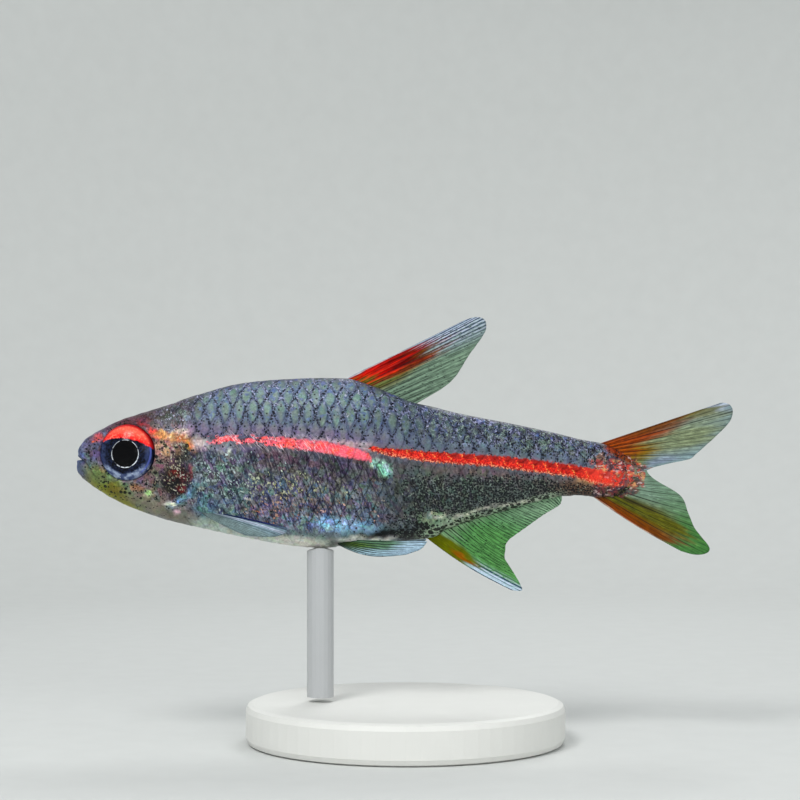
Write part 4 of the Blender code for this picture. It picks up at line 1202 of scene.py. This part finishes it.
def flesh_material():
    """Skin and scales, painted from the ground up to the bright flecks."""
    g = Graph("scaled_skin", 0.42, 0.16)
    skin = skin_values(g)
    g.base = skin.zone
    for layer in (paint_ground, paint_streaks, paint_chains, paint_strokes, paint_pores, paint_tail_end,
                  paint_stripe):
        layer(g, skin)
    gleam = paint_flecks(g, skin)
    g.feed(g.shader.inputs["Roughness"], skin.fine * 0.2 + 0.34)
    g.bump(skin.fine * 0.5 + gleam * 0.6, 0.00003, 0.8)
    return g.finished()


# Fins

# Patches of each fin: ray share u, distance share v, radii in u and v, softness, colour, strength
DORSAL_PATCHES = (
    (0.1, 0.95, 0.3, 0.4, 0.5, (112, 130, 132), 0.7),
    (0.0, 0.92, 0.12, 0.42, 0.4, FIN_WHITE, 0.85),
    (0.3, 0.08, 0.2, 0.42, 0.4, (98, 84, 16), 0.9),
    (0.3, 0.34, 0.08, 0.3, 0.4, (122, 48, 10), 0.95),
    (0.1, 0.2, 0.2, 0.4, 0.18, (180, 6, 0), 1.0),
    (0.17, 0.44, 0.15, 0.16, 0.3, (92, 2, 0), 0.95),
    (0.06, 0.22, 0.02, 0.3, 0.5, (210, 16, 2), 0.8),
    (0.16, 0.2, 0.02, 0.3, 0.5, (206, 24, 4), 0.8),
    (0.12, 0.58, 0.025, 0.12, 0.5, (140, 34, 8), 0.9),
    (0.2, 0.6, 0.022, 0.16, 0.5, (112, 70, 18), 0.9),
    (0.27, 0.58, 0.02, 0.12, 0.5, (110, 68, 24), 0.8),
    (0.33, 0.5, 0.025, 0.1, 0.4, (132, 46, 16), 0.9),
    (0.3, 0.14, 0.016, 0.16, 0.5, (178, 30, 6), 0.9),
    (0.38, 0.1, 0.05, 0.14, 0.5, (92, 110, 62), 0.8),
    (0.24, 0.0, 0.16, 0.14, 0.4, (104, 96, 30), 0.9),
    (0.12, 0.08, 0.016, 0.2, 0.3, (204, 26, 4), 0.9),
    (0.2, 0.1, 0.016, 0.2, 0.3, (196, 30, 6), 0.9),
    (0.28, 0.12, 0.016, 0.2, 0.3, (186, 38, 8), 0.9),
    (0.35, 0.16, 0.016, 0.16, 0.3, (160, 60, 20), 0.8),
    (0.0, 0.5, 0.022, 1.0, 0.3, (190, 200, 208), 0.95),
)
ANAL_PATCHES = (
    (0.2, 0.8, 0.3, 0.6, 0.5, (76, 136, 66), 0.8),
    (0.95, 0.5, 0.35, 1.2, 0.5, (132, 164, 134), 0.8),
    (0.3, 0.0, 0.4, 0.24, 0.5, (138, 178, 134), 0.8),
    (0.035, 0.2, 0.075, 0.4, 0.3, (92, 98, 0), 1.0),
    (0.045, 0.36, 0.014, 0.12, 0.5, (150, 72, 0), 0.75),
    (0.0, 0.84, 0.075, 0.36, 0.25, (158, 192, 198), 1.0),
)
UPPER_PATCHES = (
    (0.75, 0.6, 0.16, 0.22, 0.6, (132, 142, 168), 0.6),
    (0.9, 0.16, 0.45, 0.36, 0.5, (108, 126, 84), 1.0),
    (0.36, 0.55, 0.22, 0.46, 0.5, (122, 132, 92), 0.85),
    (0.5, 0.2, 0.24, 0.26, 0.5, (128, 98, 10), 0.95),
    (0.12, 0.2, 0.19, 0.31, 0.4, (136, 54, 10), 0.98),
    (0.34, 0.1, 0.28, 0.2, 0.5, (150, 64, 8), 0.9),
    (0.03, 0.58, 0.08, 0.3, 0.5, (104, 58, 12), 0.9),
    (0.07, 0.5, 0.09, 0.22, 0.5, (108, 58, 14), 0.85),
    (0.05, 0.84, 0.12, 0.16, 0.5, (108, 104, 42), 0.7),
    (0.03, 0.98, 0.1, 0.07, 0.5, (172, 182, 202), 0.85),
)
LOWER_PATCHES = (
    (0.5, 0.9, 0.5, 0.3, 0.5, (86, 122, 84), 0.7),
    (0.32, 0.34, 0.2, 0.62, 0.45, (88, 86, 0), 0.95),
    (0.08, 0.36, 0.14, 0.54, 0.4, (112, 56, 0), 0.98),
    (0.44, 0.3, 0.05, 0.3, 0.5, (52, 44, 20), 0.7),
    (0.0, 0.25, 0.1, 0.3, 0.4, (128, 54, 6), 0.8),
    (0.1, 0.95, 0.4, 0.14, 0.4, (64, 120, 58), 0.9),
    (0.0, 0.3, 0.018, 0.45, 0.4, (198, 176, 158), 0.85),
    (0.9, 0.5, 0.3, 0.8, 0.5, (112, 138, 120), 0.7),
)
PECTORAL_PATCHES = (
    (0.4, 0.8, 0.8, 0.35, 0.5, (112, 134, 148), 0.7),
    (0.7, 0.5, 0.4, 0.7, 0.5, (122, 142, 142), 0.8),
    (0.16, 0.5, 0.05, 0.7, 0.4, (176, 186, 206), 0.8),
    (0.02, 0.4, 0.06, 0.62, 0.3, (28, 36, 84), 1.0),
    (0.5, 0.0, 0.6, 0.1, 0.5, (44, 44, 44), 0.8),
)
PELVIC_PATCHES = (
    (0.2, 0.5, 0.4, 0.7, 0.5, (86, 122, 92), 0.9),
    (0.6, 0.2, 0.4, 0.3, 0.5, (70, 98, 16), 0.9),
    (0.9, 0.75, 0.4, 0.45, 0.4, (146, 176, 192), 0.85),
    (0.4, 0.92, 0.6, 0.22, 0.4, (158, 184, 204), 0.9),
)

# Where the body's mottling runs out over the tail fin: centre, radii, tilt and softness
TAIL_MOTTLING = (32.45, -0.5, 1.7, 1.3, 0, 0.5)
# Frosted part of a fin: distance shares it starts between, ray shares it ends between
NO_FROST = (2.0, 3.0, 0.2, 0.5)


def in_middle_plane(plane, off):
    return np.stack((plane[..., 0], off, plane[..., 1]), axis=-1)


def blade_place(origin, along, across, side):
    """Placing of a paired fin: its length runs along, its width across, mirrored by side."""
    along = np.array(along) / np.linalg.norm(along)
    across = np.array(across) - along * np.dot(across, along)
    across /= np.linalg.norm(across)
    normal = np.cross(along, across)

    def place(plane, off):
        point = np.array(origin) + along * plane[..., :1] + across * plane[..., 1:] + normal * off[..., None]
        return point * (1.0, side, 1.0)

    return place


def fin_plan(root, margin, rays, rows, colour, patches, seed, **more):
    """Everything that sets one sheet of a fin, as named values."""
    plan = dict(root=root, margin=margin, rays=rays, rows=rows, colour=colour, patches=patches,
                seed=seed, bow=(0.0, 0.0), lead=0.0, bend=0.0, flip=False, lines=0.8, dots=0.3,
                mottled=0.0, threads=3.0, frost=NO_FROST, bare=-0.1, place=in_middle_plane)
    plan.update(more)
    return SimpleNamespace(**plan)


def fin_colours(plan, u, v, lean):
    colour = np.tile(linear(plan.colour), (u.size, 1))
    warp = 0.03 * wobble(u * 25, v * 5, plan.seed + 1) + 0.02 * wobble(u * 60, v * 14, plan.seed + 2)
    for u0, v0, ru, rv, soft, tint, strength in plan.patches:
        reach = np.hypot((u + warp * 0.5 - u0) / ru, (v + lean - v0) / rv)
        blend_in(colour, smooth(reach, 1 + soft, 1 - soft) * strength, tint)
    return colour


def fin_sheet(plan):
    """Points, faces, marks and UVs of a thin closed sheet with raised, branching rays."""
    columns = (plan.rays - 1) * RAY_COLUMNS + 1
    u, v = np.meshgrid(np.linspace(0, 1, columns), np.linspace(0, 1, plan.rows + 1), indexing="ij")
    start = even_curve(plan.root, u)
    end = even_curve(plan.margin, u + plan.lead * u * (1 - u))
    length = np.linalg.norm(end - start, axis=-1, keepdims=True)
    ray = (end - start) / length
    number = u * (plan.rays - 1)
    start = start - ray * ROOT_SINK
    end = end - ray * (MARGIN_NOTCH * (1 - np.cos(2 * math.pi * number)))[..., None]
    across = np.stack((-ray[..., 1], ray[..., 0]), axis=-1)
    first, last = plan.bow
    bow = (first + (last - first) * u) * np.sin(math.pi * v)
    plane = start + (end - start) * v[..., None] + across * bow[..., None]

    spacing = np.linalg.norm(np.gradient(plane, axis=0), axis=-1) * RAY_COLUMNS
    fork = RAY_FORK * smooth(v, FORK_START, FORK_END)
    beside = np.abs(np.abs(number - np.round(number)) - fork) * spacing
    ridge = RAY_RIDGE * (1 - 0.6 * v) * bell(beside, RAY_WIDTH)
    half = (MEMBRANE_ROOT + (MEMBRANE_TIP - MEMBRANE_ROOT) * v + ridge) * smooth(1.04 - v, 0.0, 0.06)
    half = half * (0.25 + 0.75 * smooth(np.minimum(u, 1 - u) * (plan.rays - 1), -0.05, 0.12))
    sway = plan.bend * np.sin(math.pi * v) + 0.035 * v * wobble(u * 6, v * 3, plan.seed)
    points = np.concatenate([plan.place(plane, sway + off).reshape(-1, 3) for off in (half, -half)])
    faces = sheet_faces(columns, plan.rows + 1)
    if plan.flip:
        faces = faces[:, ::-1]
    shares = np.stack((u * 0.49 + 0.005, v), -1).reshape(-1, 2)

    lean = 0.1 * wobble(u * 40, v * 4, plan.seed + 3)
    inner, outer, first_u, last_u = plan.frost
    frost = smooth(v + 0.5 * lean, inner, outer) * smooth(u, last_u, first_u)
    mottled = plan.mottled * spot(plane[..., 0], plane[..., 1], TAIL_MOTTLING)
    lines = plan.lines * (1 - 0.7 * smooth(u, plan.bare + 0.04, plan.bare))
    marks = {
        "zone": fin_colours(plan, u, v, lean),
        "ray": np.stack((number, v, v * length[..., 0]), -1).reshape(-1, 3),
        "root": np.stack((mottled, np.full(u.shape, plan.threads), frost), -1).reshape(-1, 3),
        "weights": np.stack((lines, np.full(u.shape, plan.dots), spacing), -1).reshape(-1, 3),
    }
    marks = {key: np.tile(values, (2, 1)) for key, values in marks.items()}
    return points, faces, marks, np.vstack((shares, shares + (0.5, 0)))[faces.ravel()]


def make_fin(name, material, plans, *nodes):
    """One piece made of one or more sheets."""
    points, faces, marks, uvs = zip(*(fin_sheet(plan) for plan in plans))
    starts = np.cumsum([0] + [len(sheet) for sheet in points])
    faces = np.vstack([sheet + start for sheet, start in zip(faces, starts)])
    share = 1 / len(plans)
    uvs = np.vstack([uv * (1, share) + (0, k * share) for k, uv in enumerate(uvs)])
    marks = {key: np.vstack([sheet[key] for sheet in marks]) for key in marks[0]}
    fin = make_piece(name, np.vstack(points), faces.tolist(), marks, material, uvs)
    finish_piece(fin, "fin", *nodes)


def make_fins(material):
    root = [(s, float(back_height(s))) for s in DORSAL_ROOT]
    dorsal = fin_plan(root, DORSAL_MARGIN, 11, 40, FIN_GREY_GREEN, DORSAL_PATCHES, 21, bend=0.1,
                      frost=(0.5, 0.7, 0.1, 0.45), threads=1.5)
    make_fin("fin_dorsal", material, [dorsal], "dorsal_fin")
    root = [(s, -float(belly_depth(s))) for s in ANAL_ROOT]
    anal = fin_plan(root, ANAL_MARGIN, 20, 34, FIN_GREEN, ANAL_PATCHES, 22, bend=-0.1, flip=True,
                    bow=(-0.2, 0.1), lead=0.5, lines=1.0, dots=0.5,
                    frost=(0.45, 0.6, 0.06, 0.12), bare=0.1, threads=1.0)
    make_fin("fin_anal", material, [anal], "anal_fin")
    upper = fin_plan(UPPER_ROOT, UPPER_MARGIN, 10, 48, FIN_BLUE, UPPER_PATCHES, 23, bend=0.06,
                     dots=0.03, mottled=1.0, threads=2.0)
    lower = fin_plan(LOWER_ROOT, LOWER_MARGIN, 9, 44, FIN_GREY_GREEN, LOWER_PATCHES, 24, bend=-0.04,
                     bow=(-0.14, 0.0), dots=0.03, mottled=1.0, threads=2.0, flip=True)
    make_fin("fin_tail", material, [upper, lower], "tail_fin_upper", "tail_fin_lower")
    for word, side in SIDES:
        pectoral = fin_plan(PECTORAL_ROOT, PECTORAL_MARGIN, 10, 30, PECTORAL_GREY, PECTORAL_PATCHES, 25,
                            place=blade_place(*PECTORAL_PLACE, side), lines=0.5, dots=0.1, bend=0.22,
                            bow=(0.0, 0.14), flip=side < 0)
        make_fin("fin_pectoral_" + word, material, [pectoral], "pectoral_fin_" + word)
        pelvic = fin_plan(PELVIC_ROOT, PELVIC_MARGIN, 8, 30, PELVIC_GREEN, PELVIC_PATCHES, 26,
                          place=blade_place(*PELVIC_PLACE, side), lines=1.0, dots=0.1,
                          bow=(0.0, 0.55), flip=side < 0)
        make_fin("fin_pelvic_" + word, material, [pelvic], "pelvic_fin_" + word)


def fin_material():
    """Membrane with dark broken lines along the branching rays, pigment dots, and painted highlights on the
    rays.
    """
    g = Graph("fin_rays", 0.45, 0.04)
    number, v, distance = g.attribute("ray").parts()
    lines, dots, spacing = g.attribute("weights").parts()
    mottled, threads, frost = g.attribute("root").parts()
    place = g.place()

    def streaky(across, along):
        """Noise drawn out along the rays."""
        return g.noise(g.vector(number * across, distance * along), 1.0, 2.0)

    signed = number - number.math("ROUND")
    offset = abs(signed)
    beyond = (offset - v.step(FORK_START, FORK_END) * RAY_FORK) * spacing
    broken = streaky(5.0, 2.2)
    frayed = streaky(7.0, 1.3)
    crystals = streaky(11.0, 3.6)
    soft = g.noise(place, 2.5, 3.0)
    ray = abs(beyond).step(RAY_WIDTH, 0.02)

    # Rays with a painted highlight, a lighter copy of the membrane's colour, each with a dark line along one
    # side
    g.base = g.attribute("zone", "Color").lit(soft.ramp(0.3, 0.7, 0.78, 1.12))
    # Painted highlight colour: the membrane's own colour made lighter
    bright = g.base.lit(1.7)
    g.paint(ray * broken.step(0.5, 0.6) * 0.7, bright)
    one_side = signed.step(-0.02, 0.02).math("MAXIMUM", v.step(0.4, 0.6))
    edge = beyond.near(RAY_WIDTH, 0.026, 0.01) * one_side
    g.paint(edge * broken.step(0.58, 0.46) * lines * 0.8, (16, 20, 26))

    # Dark threads, and the frost's white and blue threads, twice as fine past the first ray
    turns = number * threads
    thread = abs((turns + 0.5).fract() - 0.5)
    g.paint(thread.step(0.15, 0.04) * frayed.step(0.6, 0.48) * v.step(0.04, 0.3) * lines * 0.72, (18, 24, 28))
    finer = thread + (abs((turns * 2.0).fract() - 0.5) - thread) * number.step(0.8, 1.0)
    g.paint(finer.step(0.22, 0.34) * crystals.step(0.4, 0.5) * frost * 0.8, (204, 212, 238))
    g.paint(finer.step(0.24, 0.14) * crystals.step(0.64, 0.54) * frost, (26, 36, 84))
    # Painted highlight, the same lighter copy, between the dark threads
    g.paint(thread.step(0.36, 0.46) * frayed.step(0.45, 0.6) * 0.3, bright)

    # Dark line between the rays, pigment dots and the body's mottling at the root
    between = (0.5 - offset) * spacing
    crack = (v.ramp(0.1, 0.8, 0.045, 0.02) - between).step(0.0, 0.012) * broken.step(0.3, 0.42) * lines
    g.paint(crack * 0.9, FIN_INK)
    near, random = g.cells(g.vector(number * 2.0, distance * 5.0), 1.0)
    dot = near.step(0.24, 0.16) * (dots * 0.7 - random.parts()[0]).step(0.0, 0.05)
    g.paint(dot * number.step(2.2, 2.8) * 0.85, FIN_INK)
    ragged = (g.noise(place, 2.6, 3.0) - 0.5) * 1.7
    g.paint((mottled + ragged).step(0.5, 0.8) * 0.8, mottle(g, place))
    joints = (distance * 5.5).fract().near(0.5, 0.08, 0.0)
    g.bump(soft * 0.3 - joints * ray * v.step(0.25, 0.5), 0.00002, 0.7)
    return g.finished()


# Eyes


def make_eye(word, side, material):
    """Flattened ball with a cornea standing out of it, turned a little forwards and upwards."""
    tilts = np.linspace(0, math.pi, EYE_RINGS + 1)[1:-1]
    turns = np.arange(EYE_SIDES) * 2 * math.pi / EYE_SIDES
    tilt, turn = (grid.ravel() for grid in np.meshgrid(tilts, turns, indexing="ij"))
    out = np.cos(tilt)
    x = EYE_RADIUS * np.sin(tilt) * np.cos(turn)
    z = EYE_RADIUS * np.sin(tilt) * np.sin(turn)
    y = EYE_HALF_THICKNESS * out + 0.03 * smooth(out, 0, 1) * bell(np.hypot(x + 0.2, z + 0.1) - 0.84, 0.07)
    poles = ((0, EYE_HALF_THICKNESS, 0), (0, -EYE_HALF_THICKNESS, 0))
    ball = np.vstack((np.stack((x, y, z), -1), poles))
    disc = ball[:, (0, 2, 1)]
    turning = Matrix.Rotation(side * EYE_ROLL, 3, "X") @ Matrix.Rotation(side * EYE_YAW, 3, "Z")
    points = (ball * (1, side, 1)) @ np.array(turning).T + (EYE_S + 0.06, side * EYE_CENTRE_Y, EYE_H)

    rings = EYE_RINGS - 1
    outer = rings * EYE_SIDES
    faces = ring_quads(rings, EYE_SIDES)[0][:, ::-1].tolist()
    faces += fan(outer, 0, EYE_SIDES)[:, ::-1].tolist()
    faces += fan(outer + 1, outer - EYE_SIDES, EYE_SIDES).tolist()
    if side > 0:
        faces = [face[::-1] for face in faces]
    share = disc[:, :2] / (2 * EYE_RADIUS) * 0.49 + 0.25
    share[:, 0] += np.where(disc[:, 2] >= 0, 0.0, 0.5)
    uvs = share[[index for face in faces for index in face]]
    eye = make_piece("eyeball_" + word, points, faces, {"disc": disc}, material, uvs)
    finish_piece(eye, "eye", "eye_" + word)


def eye_material():
    """Black pupil in a thin broken silver ring, navy iris, red above and silver-blue below."""
    g = Graph("eyeball", 0.12, 0.1)
    x, z, _ = g.attribute("disc").parts()
    place = g.place()
    fibres = g.noise(place, 8.0, 3.0)
    broad = g.noise(place, 2.6, 2.0)
    beads = g.noise(place, 4.5, 1.0)
    shift_x = x - PUPIL_X
    shift_z = z - PUPIL_Z
    r = (shift_x * shift_x + shift_z * shift_z).math("SQRT")
    whole = (x * x + z * z).math("SQRT")
    ragged = (fibres - 0.5) * 0.1
    g.base = g.mix(fibres.step(0.4, 0.7), (7, 9, 18), (24, 32, 58))
    g.paint(whole.step(1.1, 1.35) * broad.step(0.35, 0.6) * 0.6, (56, 70, 116))

    # Silver-blue crescent below and a thin arc behind
    low = (whole + ragged).step(1.2, 1.36) * (z + broad * 0.4).step(-0.35, -0.8)
    g.paint(low * 0.85, g.mix(broad.step(0.42, 0.66), (66, 80, 122), (164, 180, 208)))
    g.paint(low * fibres.step(0.6, 0.7) * 0.7, (214, 224, 238))
    g.paint(whole.near(1.5, 0.07, 0.02) * x.step(0.7, 1.1) * 0.7, (88, 104, 190))

    # Red cap over the pupil, bounded below by a slightly arched line
    depth = z - (0.8 - (x * 0.12 + x * x * 0.17)) + ragged * 2.2
    warm = g.mix(depth.step(0.0, 0.5), (246, 20, 26), (255, 92, 74))
    warm = g.mix(fibres.step(0.5, 0.66) * 0.45, warm, (255, 156, 128))
    warm = g.mix(whole.step(1.44, 1.6), warm, (176, 24, 30))
    g.paint(depth.step(-0.02, 0.06), warm)

    # The pupil and its silver ring
    ring = (shift_z.ramp(-0.5, 0.1, 0.036, 0.022) - abs(r - PUPIL_RADIUS)).step(0.0, 0.02)
    g.paint(r.step(PUPIL_RADIUS + 0.01, PUPIL_RADIUS - 0.03), (2, 2, 4))
    g.paint(ring * beads.step(0.4, 0.56) * 0.95, (222, 228, 238))
    return g.finished()


# Floor, lights and camera, in metres

FLOOR_RADIUS = 0.16
FLOOR_BEND = 0.06
FLOOR_HEIGHT = 0.17
FLOOR_SIDES = 96
BEND_STEPS = 12
# Name, place, size and power of each light
LIGHTS = (
    ("key", (-0.06, -0.11, 0.15), 0.07, 0.2),
    ("fill", (0.07, -0.13, 0.05), 0.12, 0.09),
    ("rim", (0.03, 0.1, 0.13), 0.07, 0.07),
)
LIGHT_TARGET = Vector((0.0, 0.0, 0.018))
CAMERA_PLACE = (-0.00033, -0.1325, 0.02038)


def plain_material(name, colour, roughness):
    g = Graph(name, roughness)
    g.base = g.mix(g.noise(g.place(), 0.5, 4.0), colour, tuple(c * 0.97 for c in colour))
    return g.finished()


def make_floor():
    """Pale seamless floor that turns up into a low wall all round."""
    bend = np.linspace(0, math.pi / 2, BEND_STEPS + 1)
    flat = FLOOR_RADIUS - FLOOR_BEND
    radii = np.concatenate(([0.0], flat + FLOOR_BEND * np.sin(bend), [FLOOR_RADIUS]))
    heights = np.concatenate(([0.0], FLOOR_BEND - FLOOR_BEND * np.cos(bend), [FLOOR_HEIGHT]))
    turn = np.arange(FLOOR_SIDES) * 2 * math.pi / FLOOR_SIDES
    x = radii[:, None] * np.cos(turn)
    y = radii[:, None] * np.sin(turn)
    points = np.stack((x, y, np.broadcast_to(heights[:, None], x.shape)), -1).reshape(-1, 3)
    faces = ring_quads(len(radii), FLOOR_SIDES)[0][:, ::-1]
    paper = plain_material("floor_paper", (206, 208, 206), 0.9)
    make_object("floor", points.tolist(), faces.tolist(), paper)


def paint_stand():
    base = plain_material("stand_white", (222, 222, 218), 0.55)
    rod = plain_material("stand_grey", (176, 178, 180), 0.35)
    for name, material in (("stand_base", base), ("stand_rod", rod)):
        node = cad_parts[name]
        node.data.materials.clear()
        node.data.materials.append(material)


def area_light(name, place, size, power):
    """Round soft light that looks at the fish."""
    data = bpy.data.lights.new(name, "AREA")
    data.shape = "DISK"
    data.size = size
    data.energy = power
    light = bpy.data.objects.new(name, data)
    light.location = place
    look = LIGHT_TARGET - Vector(place)
    light.rotation_euler = look.to_track_quat("-Z", "Y").to_euler()
    bpy.context.scene.collection.objects.link(light)


def make_lights():
    for light in LIGHTS:
        area_light(*light)
    world = bpy.data.worlds.new("studio")
    world.use_nodes = True
    background = world.node_tree.nodes["Background"]
    background.inputs["Color"].default_value = (0.9, 0.95, 1.0, 1.0)
    background.inputs["Strength"].default_value = 0.5
    bpy.context.scene.world = world
    bpy.context.scene.view_settings.view_transform = "Standard"


def make_camera():
    """Level side view whose frame spans 47.7 mm at the fish's middle plane."""
    data = bpy.data.cameras.new("camera")
    data.lens = 100
    data.sensor_width = 36
    data.clip_start = 0.001
    camera = bpy.data.objects.new("camera", data)
    camera.location = CAMERA_PLACE
    camera.rotation_euler = (math.pi / 2, 0, 0)
    bpy.context.scene.collection.objects.link(camera)
    bpy.context.scene.camera = camera


def main():
    flesh = flesh_material()
    make_skin(flesh)
    for word, side in SIDES:
        make_scales("scales_" + word, side, flesh)
    make_fins(fin_material())
    eye = eye_material()
    for word, side in SIDES:
        make_eye(word, side, eye)
    paint_stand()
    make_floor()
    make_lights()
    make_camera()


main()
